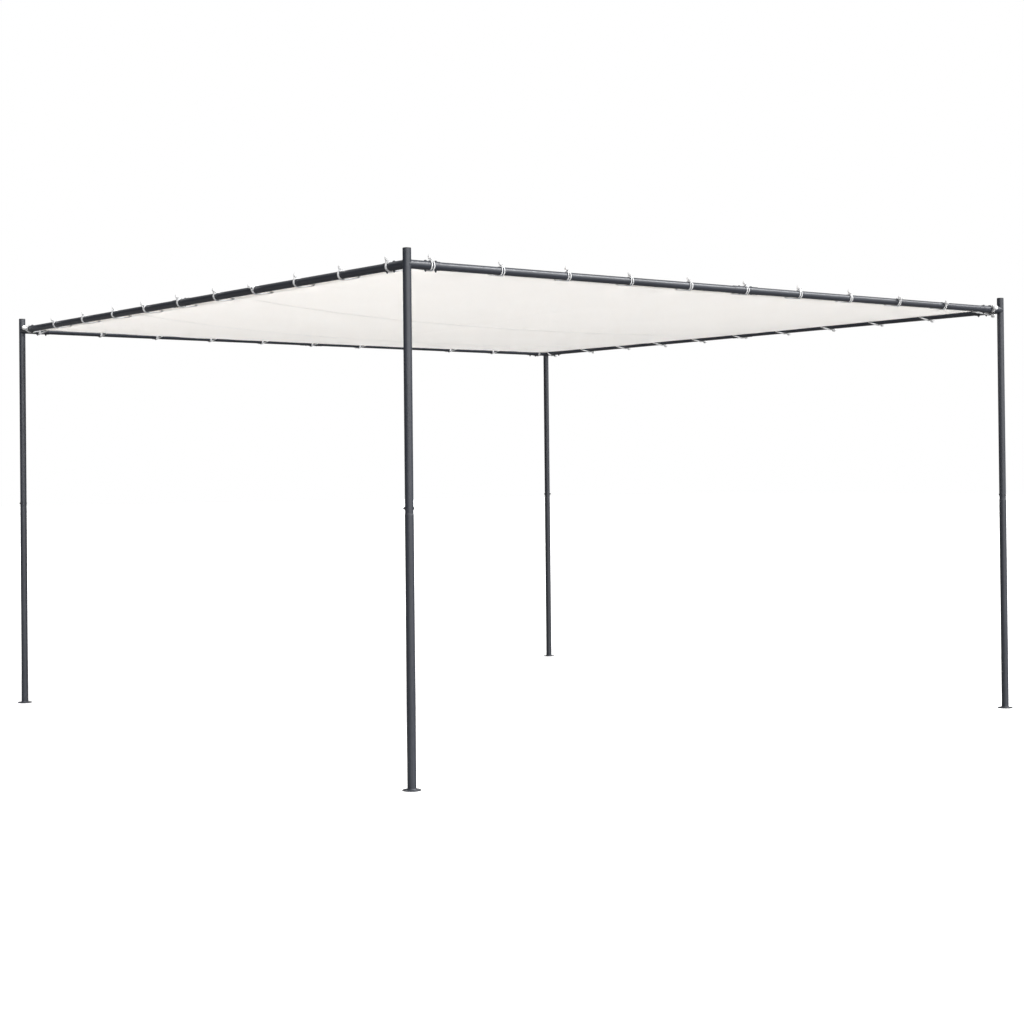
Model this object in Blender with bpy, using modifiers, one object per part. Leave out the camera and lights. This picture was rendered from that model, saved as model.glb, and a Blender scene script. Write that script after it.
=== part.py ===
"""A flat roof gazebo: four round posts, a ring of top rails and a canopy tied inside the ring.

The frame is square and stands on the ground plane, with its centre over the origin and +Z up.
Each side is modelled along +X at the front and turned a quarter at a time about the centre.
"""

import math

import bmesh
import bpy
from mathutils import Matrix

# Driving dimensions of the frame
POST_SPACING = 3.96
FRAME_HEIGHT = 2.25
RAIL_DROP = 0.068
POST_JOINT_HEIGHT = 1.144

# Tubes: outer radii and one wall thickness for all
LOWER_POST_RADIUS = 0.019
UPPER_POST_RADIUS = 0.018
RAIL_RADIUS = 0.0175
SLEEVE_RADIUS = 0.019
TUBE_WALL = 0.0012
TUBE_SIDES = 16
FIT_GAP = 0.0003

# Foot plates
FOOT_RADIUS = 0.040
FOOT_EDGE_THICKNESS = 0.003
FOOT_CENTRE_THICKNESS = 0.004
FOOT_BEVEL = 0.001
FOOT_SPIGOT_RADIUS = 0.0174
FOOT_SPIGOT_HEIGHT = 0.050
FOOT_HOLE_RADIUS = 0.0035
FOOT_HOLE_CIRCLE = 0.030
FOOT_HOLES = 4
FOOT_SIDES = 24
FOOT_HOLE_SIDES = 8

# The neck of a lower post, which enters the upper one
NECK_LENGTH = 0.080
NECK_SHOULDER = 0.003

# Post caps
CAP_THICKNESS = 0.004
CAP_BEVEL = 0.0015
CAP_PLUG_DEPTH = 0.012

# Rails, the sleeves at the posts and the coupler halfway along each side
SLEEVE_REACH = 0.165
RAIL_START = 0.075
RAIL_END_GAP = 0.0005
COUPLER_LENGTH = 0.160
COPE_HALF_HEIGHT = 0.040
MITRE_GAP = 0.0002

# Canopy: its edge inside the rail axis, its height against that axis, and its sag
CANOPY_INSET = 0.062
CANOPY_DROP = 0.005
CANOPY_SAG = 0.088
CANOPY_THICKNESS = 0.003
CANOPY_CELLS = 16

# Hems: the doubled edge of the canopy, one strip a side, mitred at the corners
HEM_WIDTH = 0.045
HEM_THICKNESS = 0.004

# Ties: an elastic loop round the rail and through the hem, closed by a ball
TIES_PER_SIDE = 11
TIE_FROM_POST = 0.120
CORD_RADIUS = 0.0025
CORD_REACH = 0.082
CORD_RISE = 0.007
CORD_WRAP_STEP = math.radians(45)
BALL_RADIUS = 0.013
BALL_SEAT = 0.003
BALL_SEGMENTS = 8
BALL_RINGS = 4

SIDES = ("front", "right", "back", "left")
CORNERS = ("front_left", "front_right", "back_right", "back_left")
BALL_ON_TOP = {"front": True, "right": False, "back": False, "left": True}

HALF = POST_SPACING / 2
RAIL_HEIGHT = FRAME_HEIGHT - RAIL_DROP
HEM_HEIGHT = RAIL_HEIGHT - CANOPY_DROP
CANOPY_HALF = HALF - CANOPY_INSET
PANEL_HALF = CANOPY_HALF - HEM_WIDTH - FIT_GAP

STEEL = {"colour": (0.105, 0.112, 0.130, 1.0), "roughness": 0.42, "metallic": 0.0}
PLASTIC = {"colour": (0.030, 0.030, 0.032, 1.0), "roughness": 0.55, "metallic": 0.0}
FABRIC = {"colour": (0.870, 0.850, 0.820, 1.0), "roughness": 0.80, "metallic": 0.0}
ELASTIC = {"colour": (0.850, 0.860, 0.880, 1.0), "roughness": 0.60, "metallic": 0.0}


def clear_scene():
    """Remove whatever the open file holds."""
    for obj in list(bpy.data.objects):
        bpy.data.objects.remove(obj, do_unlink=True)


def new_collection(name):
    collection = bpy.data.collections.new(name)
    bpy.context.scene.collection.children.link(collection)
    return collection


def new_material(name, finish):
    material = bpy.data.materials.new(name)
    material.use_nodes = True
    shader = material.node_tree.nodes["Principled BSDF"]
    shader.inputs["Base Color"].default_value = finish["colour"]
    shader.inputs["Roughness"].default_value = finish["roughness"]
    shader.inputs["Metallic"].default_value = finish["metallic"]
    material.diffuse_color = finish["colour"]
    return material


class Builder:
    """Makes objects and puts each in its collection, under the gazebo's empty."""

    def __init__(self):
        self.parts = new_collection("flat_roof_gazebo")
        self.cutters = new_collection("cutters")
        self.root = bpy.data.objects.new("gazebo_centre", None)
        self.parts.objects.link(self.root)

    def add(self, name, mesh, finish, place):
        """A visible sub-part with its own material, placed by its matrix."""
        obj = bpy.data.objects.new(name, mesh)
        mesh.materials.append(new_material(name + "_finish", finish))
        self.parts.objects.link(obj)
        obj.parent = self.root
        obj.matrix_world = place
        return obj

    def add_cutter(self, name, mesh, place):
        obj = bpy.data.objects.new(name, mesh)
        self.cutters.objects.link(obj)
        obj.matrix_world = place
        obj.hide_render = True
        obj.display_type = "WIRE"
        return obj


def profile_mesh(name, points, closed):
    """An edge outline in the XZ plane: x is the radius, z the height."""
    mesh = bpy.data.meshes.new(name)
    edges = [(i, i + 1) for i in range(len(points) - 1)]
    if closed:
        edges.append((len(points) - 1, 0))
    mesh.from_pydata([(radius, 0.0, height) for radius, height in points], edges, [])
    return mesh


def add_screw(obj, sides):
    """Turn the outline about the object's own Z axis."""
    screw = obj.modifiers.new("turn", "SCREW")
    screw.axis = "Z"
    screw.angle = 2 * math.pi
    screw.steps = sides
    screw.render_steps = sides
    screw.use_merge_vertices = True
    screw.merge_threshold = 0.00005
    screw.use_smooth_shade = True


def add_cut(obj, cutter):
    cut = obj.modifiers.new("cut_by_" + cutter.name, "BOOLEAN")
    cut.operation = "DIFFERENCE"
    cut.solver = "EXACT"
    cut.object = cutter


def tube_outline(outer, wall, low, high):
    """A tube wall in section, running down its outer side first."""
    return [(outer, high), (outer, low), (outer - wall, low), (outer - wall, high)]


def cylinder_mesh(name, radius, low, high, sides, centres=((0.0, 0.0),)):
    """One or more closed upright cylinders, side by side in one mesh."""
    shape = bmesh.new()
    for x, y in centres:
        middle = Matrix.Translation((x, y, (low + high) / 2))
        bmesh.ops.create_cone(
            shape,
            cap_ends=True,
            segments=sides,
            radius1=radius,
            radius2=radius,
            depth=high - low,
            matrix=middle,
        )
    mesh = bpy.data.meshes.new(name)
    shape.to_mesh(mesh)
    shape.free()
    return mesh


def quarter_turns(index):
    return Matrix.Rotation(index * math.pi / 2, 4, "Z")


def corner_place(index):
    """The post's axis at the start of side number index."""
    return quarter_turns(index) @ Matrix.Translation((-HALF, -HALF, 0.0))


def rail_place(index, start):
    """A frame whose Z runs along side number index, from start on that side."""
    along = Matrix.Rotation(math.pi / 2, 4, "Y")
    return quarter_turns(index) @ Matrix.Translation((start, -HALF, RAIL_HEIGHT)) @ along


def panel_height(x, y):
    """The middle of the fabric: level at its edges, sagging between them."""
    across = 1 - (x / PANEL_HALF) ** 2
    along = 1 - (y / PANEL_HALF) ** 2
    return HEM_HEIGHT - CANOPY_SAG * across * along


def tie_positions():
    """Where each tie of a side crosses its rail, with the radius of the tube there."""
    step = (POST_SPACING - 2 * TIE_FROM_POST) / (TIES_PER_SIDE - 1)
    middle = TIES_PER_SIDE // 2
    places = []
    for i in range(TIES_PER_SIDE):
        on_sleeve = i in (0, middle, TIES_PER_SIDE - 1)
        radius = SLEEVE_RADIUS if on_sleeve else RAIL_RADIUS
        places.append((-HALF + TIE_FROM_POST + i * step, radius))
    return places


def build_foot(builder, corner, place):
    """A round plate with a spigot that stands inside the post, and holes for ground pegs."""
    inner = FOOT_SPIGOT_RADIUS - TUBE_WALL
    outline = [
        (0.0, FOOT_CENTRE_THICKNESS),
        (inner, FOOT_CENTRE_THICKNESS),
        (inner, FOOT_SPIGOT_HEIGHT),
        (FOOT_SPIGOT_RADIUS, FOOT_SPIGOT_HEIGHT),
        (FOOT_SPIGOT_RADIUS, FOOT_CENTRE_THICKNESS),
        (LOWER_POST_RADIUS, FOOT_CENTRE_THICKNESS),
        (FOOT_RADIUS - FOOT_BEVEL, FOOT_EDGE_THICKNESS),
        (FOOT_RADIUS, FOOT_EDGE_THICKNESS - FOOT_BEVEL),
        (FOOT_RADIUS, 0.0),
        (0.0, 0.0),
    ]
    name = "foot_plate_" + corner
    foot = builder.add(name, profile_mesh(name, outline, False), STEEL, place)
    add_screw(foot, FOOT_SIDES)
    centres = []
    for i in range(FOOT_HOLES):
        angle = math.pi / 4 + i * 2 * math.pi / FOOT_HOLES
        centres.append((FOOT_HOLE_CIRCLE * math.cos(angle), FOOT_HOLE_CIRCLE * math.sin(angle)))
    low = -FOOT_CENTRE_THICKNESS
    high = 2 * FOOT_CENTRE_THICKNESS
    drill = cylinder_mesh(name + "_drill", FOOT_HOLE_RADIUS, low, high, FOOT_HOLE_SIDES, centres)
    add_cut(foot, builder.add_cutter(name + "_drill", drill, place))


def build_lower_post(builder, corner, place):
    """The lower tube, whose neck is drawn in to enter the upper one."""
    low = FOOT_CENTRE_THICKNESS + FIT_GAP
    neck = UPPER_POST_RADIUS - TUBE_WALL - FIT_GAP
    shoulder = POST_JOINT_HEIGHT - NECK_SHOULDER
    outline = [
        (neck, POST_JOINT_HEIGHT + NECK_LENGTH),
        (neck, POST_JOINT_HEIGHT),
        (UPPER_POST_RADIUS, POST_JOINT_HEIGHT),
        (LOWER_POST_RADIUS, shoulder),
        (LOWER_POST_RADIUS, low),
        (LOWER_POST_RADIUS - TUBE_WALL, low),
        (LOWER_POST_RADIUS - TUBE_WALL, shoulder - NECK_SHOULDER),
        (neck - TUBE_WALL, POST_JOINT_HEIGHT - NECK_SHOULDER),
        (neck - TUBE_WALL, POST_JOINT_HEIGHT + NECK_LENGTH),
    ]
    name = "lower_post_" + corner
    post = builder.add(name, profile_mesh(name, outline, True), STEEL, place)
    add_screw(post, TUBE_SIDES)


def build_upper_post(builder, corner, place):
    low = POST_JOINT_HEIGHT + FIT_GAP
    high = FRAME_HEIGHT - CAP_THICKNESS - FIT_GAP
    name = "upper_post_" + corner
    outline = tube_outline(UPPER_POST_RADIUS, TUBE_WALL, low, high)
    post = builder.add(name, profile_mesh(name, outline, True), STEEL, place)
    add_screw(post, TUBE_SIDES)


def build_cap(builder, corner, place):
    """A push-in cap that closes the top of a post."""
    plug = UPPER_POST_RADIUS - TUBE_WALL - FIT_GAP
    under = FRAME_HEIGHT - CAP_THICKNESS
    outline = [
        (0.0, FRAME_HEIGHT),
        (UPPER_POST_RADIUS - CAP_BEVEL, FRAME_HEIGHT),
        (UPPER_POST_RADIUS, FRAME_HEIGHT - CAP_BEVEL),
        (UPPER_POST_RADIUS, under),
        (plug, under),
        (plug, under - CAP_PLUG_DEPTH),
        (0.0, under - CAP_PLUG_DEPTH),
    ]
    name = "post_cap_" + corner
    cap = builder.add(name, profile_mesh(name, outline, False), PLASTIC, place)
    add_screw(cap, TUBE_SIDES)


def mitre_cutter(builder, name, corner_matrix, side_of_diagonal):
    """A block on one side of the diagonal between the two sleeves of a corner."""
    block = bmesh.new()
    bmesh.ops.create_cube(block, size=2 * COPE_HALF_HEIGHT)
    mesh = bpy.data.meshes.new(name)
    block.to_mesh(mesh)
    block.free()
    reach = side_of_diagonal * (COPE_HALF_HEIGHT - MITRE_GAP)
    onto_diagonal = Matrix.Rotation(math.pi / 4, 4, "Z")
    place = corner_matrix @ onto_diagonal @ Matrix.Translation((0.0, reach, RAIL_HEIGHT))
    return builder.add_cutter(name, mesh, place)


def build_corner(builder, index):
    """A whole post, and the cutters that shape its two sleeves against it and each other."""
    corner = CORNERS[index]
    place = corner_place(index)
    build_foot(builder, corner, place)
    build_lower_post(builder, corner, place)
    build_upper_post(builder, corner, place)
    build_cap(builder, corner, place)
    low = RAIL_HEIGHT - COPE_HALF_HEIGHT
    high = RAIL_HEIGHT + COPE_HALF_HEIGHT
    name = "cope_" + corner
    cope = cylinder_mesh(name, UPPER_POST_RADIUS + FIT_GAP, low, high, TUBE_SIDES)
    return {
        "cope": builder.add_cutter(name, cope, place),
        "start": mitre_cutter(builder, "mitre_start_" + corner, place, 1.0),
        "end": mitre_cutter(builder, "mitre_end_" + corner, place, -1.0),
    }


def build_side_tube(builder, name, index, start, length, radius):
    """A round tube that lies along one side of the ring."""
    outline = tube_outline(radius, TUBE_WALL, 0.0, length)
    tube = builder.add(name, profile_mesh(name, outline, True), STEEL, rail_place(index, start))
    add_screw(tube, TUBE_SIDES)
    return tube


def build_side(builder, index, corner_cutters):
    """The sleeves, rail sections and coupler of one side of the ring."""
    side = SIDES[index]
    rail_length = HALF - RAIL_START - RAIL_END_GAP
    sleeve_a = build_side_tube(
        builder, side + "_sleeve_a", index, -HALF, SLEEVE_REACH, SLEEVE_RADIUS
    )
    add_cut(sleeve_a, corner_cutters[index]["cope"])
    add_cut(sleeve_a, corner_cutters[index]["start"])
    sleeve_b = build_side_tube(
        builder, side + "_sleeve_b", index, HALF - SLEEVE_REACH, SLEEVE_REACH, SLEEVE_RADIUS
    )
    far = (index + 1) % len(CORNERS)
    add_cut(sleeve_b, corner_cutters[far]["cope"])
    add_cut(sleeve_b, corner_cutters[far]["end"])
    build_side_tube(builder, side + "_rail_a", index, -HALF + RAIL_START, rail_length, RAIL_RADIUS)
    build_side_tube(builder, side + "_rail_b", index, RAIL_END_GAP, rail_length, RAIL_RADIUS)
    build_side_tube(
        builder, side + "_rail_coupler", index, -COUPLER_LENGTH / 2, COUPLER_LENGTH, SLEEVE_RADIUS
    )


def build_canopy(builder):
    """The one panel of fabric inside the hems, sagging a little under its own weight."""
    grid = bmesh.new()
    bmesh.ops.create_grid(grid, x_segments=CANOPY_CELLS, y_segments=CANOPY_CELLS, size=PANEL_HALF)
    for vert in grid.verts:
        vert.co.z = panel_height(vert.co.x, vert.co.y)
    mesh = bpy.data.meshes.new("canopy")
    grid.to_mesh(mesh)
    grid.free()
    canopy = builder.add("canopy", mesh, FABRIC, Matrix.Identity(4))
    thickness = canopy.modifiers.new("thickness", "SOLIDIFY")
    thickness.thickness = CANOPY_THICKNESS
    thickness.offset = 0.0


def hem_mesh(name):
    """The hem strip of the front side, with its ends cut at 45 degrees."""
    strip = bmesh.new()
    bmesh.ops.create_cube(strip, size=1.0)
    for vert in strip.verts:
        inward = HEM_WIDTH if vert.co.y > 0 else 0.0
        side = math.copysign(1.0, vert.co.x)
        vert.co.x = side * (CANOPY_HALF - inward - MITRE_GAP)
        vert.co.y = inward - CANOPY_HALF
        vert.co.z = HEM_HEIGHT + vert.co.z * HEM_THICKNESS
    mesh = bpy.data.meshes.new(name)
    strip.to_mesh(mesh)
    strip.free()
    return mesh


def wrap_radius(tube_radius):
    """How far the cord's corners stand from the axis of the tube that it wraps."""
    return (tube_radius + CORD_RADIUS + FIT_GAP) / math.cos(CORD_WRAP_STEP / 2)


def tie_route(x, tube_radius):
    """The loop's centre line: round the outside of the tube, then through the hem and back."""
    wrap = wrap_radius(tube_radius)
    turns = round(math.pi / CORD_WRAP_STEP)
    route = []
    for i in range(turns + 1):
        angle = math.pi / 2 + i * CORD_WRAP_STEP
        y = -HALF + wrap * math.cos(angle)
        route.append((x, y, RAIL_HEIGHT + wrap * math.sin(angle)))
    route.append((x, -HALF + CORD_REACH, HEM_HEIGHT - CORD_RISE))
    route.append((x, -HALF + CORD_REACH, HEM_HEIGHT + CORD_RISE))
    return route


def loops_mesh(builder, name):
    """The closed elastic loops of one side, each a spline with a round section."""
    curve = bpy.data.curves.new(name, "CURVE")
    curve.dimensions = "3D"
    curve.bevel_depth = CORD_RADIUS
    curve.bevel_resolution = 1
    for x, tube_radius in tie_positions():
        route = tie_route(x, tube_radius)
        spline = curve.splines.new("POLY")
        spline.points.add(len(route) - 1)
        spline.use_cyclic_u = True
        for point, spot in zip(spline.points, route):
            point.co = (*spot, 1.0)
    guide = bpy.data.objects.new(name, curve)
    builder.cutters.objects.link(guide)
    seen = guide.evaluated_get(bpy.context.evaluated_depsgraph_get())
    mesh = bpy.data.meshes.new_from_object(seen)
    bpy.data.objects.remove(guide, do_unlink=True)
    return mesh


def ties_mesh(builder, name, balls_up):
    """The loops of one side, each with the ball that closes it."""
    shape = bmesh.new()
    shape.from_mesh(loops_mesh(builder, name + "_loops"))
    for x, tube_radius in tie_positions():
        rise = wrap_radius(tube_radius) + BALL_RADIUS - BALL_SEAT
        height = RAIL_HEIGHT + (rise if balls_up else -rise)
        bmesh.ops.create_uvsphere(
            shape,
            u_segments=BALL_SEGMENTS,
            v_segments=BALL_RINGS,
            radius=BALL_RADIUS,
            matrix=Matrix.Translation((x, -HALF, height)),
        )
    bmesh.ops.recalc_face_normals(shape, faces=shape.faces)
    mesh = bpy.data.meshes.new(name)
    shape.to_mesh(mesh)
    shape.free()
    return mesh


def build_hem(builder, index):
    """One side's hem, joined with the ties that it carries."""
    side = SIDES[index]
    place = quarter_turns(index)
    name = side + "_hem_with_ties"
    hem = builder.add(name, hem_mesh(name), ELASTIC, place)
    ties = builder.add_cutter(
        side + "_ties", ties_mesh(builder, side + "_ties", BALL_ON_TOP[side]), place
    )
    union = hem.modifiers.new("join_ties", "BOOLEAN")
    union.operation = "UNION"
    union.solver = "EXACT"
    union.use_self = True
    union.object = ties


def main():
    clear_scene()
    builder = Builder()
    corner_cutters = [build_corner(builder, index) for index in range(len(CORNERS))]
    for index in range(len(SIDES)):
        build_side(builder, index, corner_cutters)
    build_canopy(builder)
    for index in range(len(SIDES)):
        build_hem(builder, index)
    bpy.context.view_layer.update()


main()
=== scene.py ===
"""The flat roof gazebo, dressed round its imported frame.

Sizes are in metres and in the frame's own axes: the ground lies at z = 0 and the centre of the
square of posts stands over the origin. Each side is worked out at the front, where it runs
along +X, and is turned a quarter at a time about the centre for the other sides.
"""

import logging
import math
from collections.abc import Iterable, Sequence
from dataclasses import asdict, dataclass, field, fields, replace
from enum import Enum

import bmesh
import bpy
import numpy as np
from mathutils import Matrix, Vector


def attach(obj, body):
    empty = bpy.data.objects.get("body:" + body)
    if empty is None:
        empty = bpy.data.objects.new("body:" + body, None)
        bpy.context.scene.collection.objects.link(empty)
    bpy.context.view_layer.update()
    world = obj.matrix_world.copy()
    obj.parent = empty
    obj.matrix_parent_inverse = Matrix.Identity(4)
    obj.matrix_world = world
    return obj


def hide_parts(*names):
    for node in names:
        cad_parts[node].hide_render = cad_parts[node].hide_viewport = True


LOG = logging.getLogger("gazebo")
BODY = "root"

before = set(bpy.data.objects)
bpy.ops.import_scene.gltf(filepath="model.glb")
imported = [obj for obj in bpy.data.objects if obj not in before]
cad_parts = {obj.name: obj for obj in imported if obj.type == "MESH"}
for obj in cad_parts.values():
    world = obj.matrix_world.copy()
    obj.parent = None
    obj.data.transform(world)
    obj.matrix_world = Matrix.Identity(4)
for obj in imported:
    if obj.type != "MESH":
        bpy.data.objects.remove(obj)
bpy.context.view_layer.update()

Mesh = bpy.types.Mesh
Material = bpy.types.Material
Object = bpy.types.Object
Socket = bpy.types.NodeSocket
Numbers = float | np.ndarray
Band = tuple[float, float]
Triple = tuple[float, float, float]
Colour = tuple[float, float, float, float]
Outline = Sequence[Band]

# What the meshes carry for the recipes and the finishes to read.
AXIS = "axis"
WEAR = "wear"
CORD_RUN = "cord_run"
CORD_TURN = "cord_turn"
FLAT_MAP = "flat"

# The values that soft noise mostly keeps to, and the wave texture's radians at a scale of one.
NOISE_BAND: Band = (0.3, 0.7)
WAVE_RATE = 20.0

# The tubes' steps round, the softening of their rims, and how far from a rim its rubbing fades.
TUBE_SIDES = 64
TUBE_RIM = 0.0004
RUB_REACH = 0.005


# ---------------------------------------------------------------- sizes and named choices


@dataclass(frozen=True)
class GazeboSizes:
    """The sizes that several parts share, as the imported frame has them."""

    spacing: float = 3.96
    height: float = 2.25
    rail_drop: float = 0.068
    joint_height: float = 1.144
    lower_post: float = 0.019
    upper_post: float = 0.018
    rail: float = 0.0175
    sleeve: float = 0.019
    wall: float = 0.0012
    fit: float = 0.0003
    sleeve_reach: float = 0.165
    coupler_reach: float = 0.080
    canopy_inset: float = 0.062
    canopy_drop: float = 0.005
    canopy_sag: float = 0.088
    hem_width: float = 0.045
    tie_from_post: float = 0.120
    ties_per_side: int = 11
    eyelet_inset: float = 0.020
    corner_rise: float = 0.006

    @property
    def half(self) -> float:
        """From the centre to a post's axis, along either side."""
        return self.spacing / 2

    @property
    def rail_height(self) -> float:
        """The height of the rails' axes."""
        return self.height - self.rail_drop

    @property
    def hem_height(self) -> float:
        """The height of the canopy's edge."""
        return self.rail_height - self.canopy_drop

    @property
    def canopy_half(self) -> float:
        """From the centre to the canopy's edge."""
        return self.half - self.canopy_inset

    @property
    def tie_step(self) -> float:
        """The distance from one tie to the next."""
        return (self.spacing - 2 * self.tie_from_post) / (self.ties_per_side - 1)

    def tie_places(self) -> list[float]:
        """Where the ties of a side stand along it."""
        first = self.tie_from_post - self.half
        return [first + i * self.tie_step for i in range(self.ties_per_side)]

    def edge_rise(self, x: Numbers, y: Numbers) -> Numbers:
        """How much higher than its edge's middle the canopy hangs at a flat place."""
        return self.corner_rise * (x * y / self.canopy_half**2) ** 2

    def tube_at_tie(self, index: int) -> float:
        """The radius of the tube that a tie wraps.

        Args:
            index: the tie's number along its side.

        Returns:
            The sleeve's radius at the ends and the middle, and the rail's elsewhere.
        """
        on_sleeve = index in (0, self.ties_per_side // 2, self.ties_per_side - 1)
        return self.sleeve if on_sleeve else self.rail


SIZES = GazeboSizes()


def quarter_turns(count: int) -> Matrix:
    """A number of quarter turns about the upright axis."""
    return Matrix.Rotation(count * math.pi / 2, 4, "Z")


class Side(Enum):
    """The four sides of the ring, in the order of their quarter turns."""

    FRONT = 0
    RIGHT = 1
    BACK = 2
    LEFT = 3

    @property
    def label(self) -> str:
        """The side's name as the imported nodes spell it."""
        return self.name.lower()

    @property
    def turn(self) -> Matrix:
        """The turn about the centre that brings the front side here."""
        return quarter_turns(self.value)


class Corner(Enum):
    """The four posts, each at the start of the side with the same number."""

    FRONT_LEFT = 0
    FRONT_RIGHT = 1
    BACK_RIGHT = 2
    BACK_LEFT = 3

    @property
    def label(self) -> str:
        """The corner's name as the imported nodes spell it."""
        return self.name.lower()

    @property
    def place(self) -> Matrix:
        """The frame that stands on the ground at this post's axis."""
        spot = Matrix.Translation((-SIZES.half, -SIZES.half, 0.0))
        return quarter_turns(self.value) @ spot


class Slot(Enum):
    """The record's material slots."""

    FRAME = "frame_steel"
    FOOT = "foot_steel"
    CAP = "cap_plastic"
    CANOPY = "canopy_fabric"
    WHITE = "hem_and_tie_white"


class Hang(Enum):
    """Whether the balls of a side's ties sit over its rail or hang under it."""

    OVER = 1.0
    UNDER = -1.0


# ---------------------------------------------------------------- node trees


class NodeWork:
    """A node tree put together a node at a time."""

    def __init__(self, tree: bpy.types.NodeTree) -> None:
        """Keep the tree that the nodes go into."""
        self.tree = tree

    def plug(self, socket: Socket, value: object) -> None:
        """Join an output to a socket, or set the socket's own value.

        Args:
            socket: the input to feed.
            value: another node's output, or a plain value.
        """
        if isinstance(value, Socket):
            self.tree.links.new(value, socket)
        else:
            socket.default_value = value

    def add(self, kind: str, plugs: dict | None = None, **settings: object) -> bpy.types.Node:
        """Add a node.

        Args:
            kind: the node's type name.
            plugs: what each input gets, by its name or its number.
            settings: the node's own properties.

        Returns:
            The new node.
        """
        node = self.tree.nodes.new(kind)
        for name, value in settings.items():
            setattr(node, name, value)
        for key, value in (plugs or {}).items():
            self.plug(node.inputs[key], value)
        return node

    def sums(self, operation: str, first: object, second: object = 0.0) -> Socket:
        """One step of arithmetic on two values."""
        return self.add("ShaderNodeMath", {0: first, 1: second}, operation=operation).outputs[0]


class SurfaceWork(NodeWork):
    """One material under construction, on Blender's Principled shader."""

    def __init__(self, name: str) -> None:
        """Start a material.

        Args:
            name: its name.
        """
        self.material = bpy.data.materials.new(name)
        self.material.use_nodes = True
        super().__init__(self.material.node_tree)
        self.shader = self.tree.nodes["Principled BSDF"]

    @property
    def place(self) -> Socket:
        """The object's own coordinates."""
        return self.add("ShaderNodeTexCoord").outputs["Object"]

    def stored(self, name: str) -> Socket:
        """A number that the mesh carries at each point."""
        return self.add("ShaderNodeAttribute", attribute_name=name).outputs["Fac"]

    def noise(self, where: object, scale: float, detail: float = 2.0) -> Socket:
        """Soft noise from 0 to 1.

        Args:
            where: the coordinates.
            scale: how many features fit in a metre.
            detail: how many finer layers are added.

        Returns:
            The noise's value.
        """
        plugs = {"Vector": where, "Scale": scale, "Detail": detail}
        return self.add("ShaderNodeTexNoise", plugs).outputs[0]

    def waves(self, where: object, pitch: float, direction: str) -> Socket:
        """Even bands, as of threads that lie side by side.

        Args:
            where: the coordinates.
            pitch: the distance from one band to the next, in metres.
            direction: the axis that the bands follow each other along.

        Returns:
            The bands' height from 0 to 1.
        """
        plugs = {"Vector": where, "Scale": 2 * math.pi / (WAVE_RATE * pitch)}
        return self.add("ShaderNodeTexWave", plugs, bands_direction=direction).outputs[1]

    def span(self, value: object, band: Band, onto: Band = (0.0, 1.0)) -> Socket:
        """Stretch a range of values onto another.

        Args:
            value: what is stretched.
            band: the values that become the new range's ends.
            onto: the new range.

        Returns:
            The stretched value, held inside the new range.
        """
        names = ("From Min", "From Max", "To Min", "To Max")
        plugs = {"Value": value, **dict(zip(names, (*band, *onto)))}
        return self.add("ShaderNodeMapRange", plugs).outputs["Result"]

    def tint(self, share: object, first: object, second: object) -> Socket:
        """A colour between two others.

        Args:
            share: 0 for the first colour and 1 for the second.
            first: the colour at 0.
            second: the colour at 1.

        Returns:
            The mixed colour.
        """
        plugs = {0: share, 6: first, 7: second}  # 6 and 7 are the sockets for colours
        return self.add("ShaderNodeMix", plugs, data_type="RGBA").outputs[2]

    def relief(self, height: object, depth: float, strength: float) -> None:
        """Give the surface a fine relief.

        Args:
            height: the relief's height from 0 to 1.
            depth: how deep that is, in metres.
            strength: how much of it shows.
        """
        plugs = {"Strength": strength, "Distance": depth, "Height": height}
        self.plug(self.shader.inputs["Normal"], self.add("ShaderNodeBump", plugs).outputs[0])

    def colour(self, value: object) -> None:
        """Set what the surface's colour comes from."""
        self.plug(self.shader.inputs["Base Color"], value)

    def roughness(self, value: object) -> None:
        """Set what the surface's roughness comes from."""
        self.plug(self.shader.inputs["Roughness"], value)

    def fixed(self, **values: object) -> None:
        """Set sockets that are the same all over, named with _ for each space."""
        for name, value in values.items():
            self.shader.inputs[name.replace("_", " ")].default_value = value

    def glow(self, depth: float, scatter: Triple = (1.0, 1.0, 1.0), weight: float = 1.0) -> None:
        """Let light through to a depth, scaled for each colour, over a share of the surface."""
        self.fixed(Subsurface_Weight=weight, Subsurface_Scale=depth, Subsurface_Radius=scatter)


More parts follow.
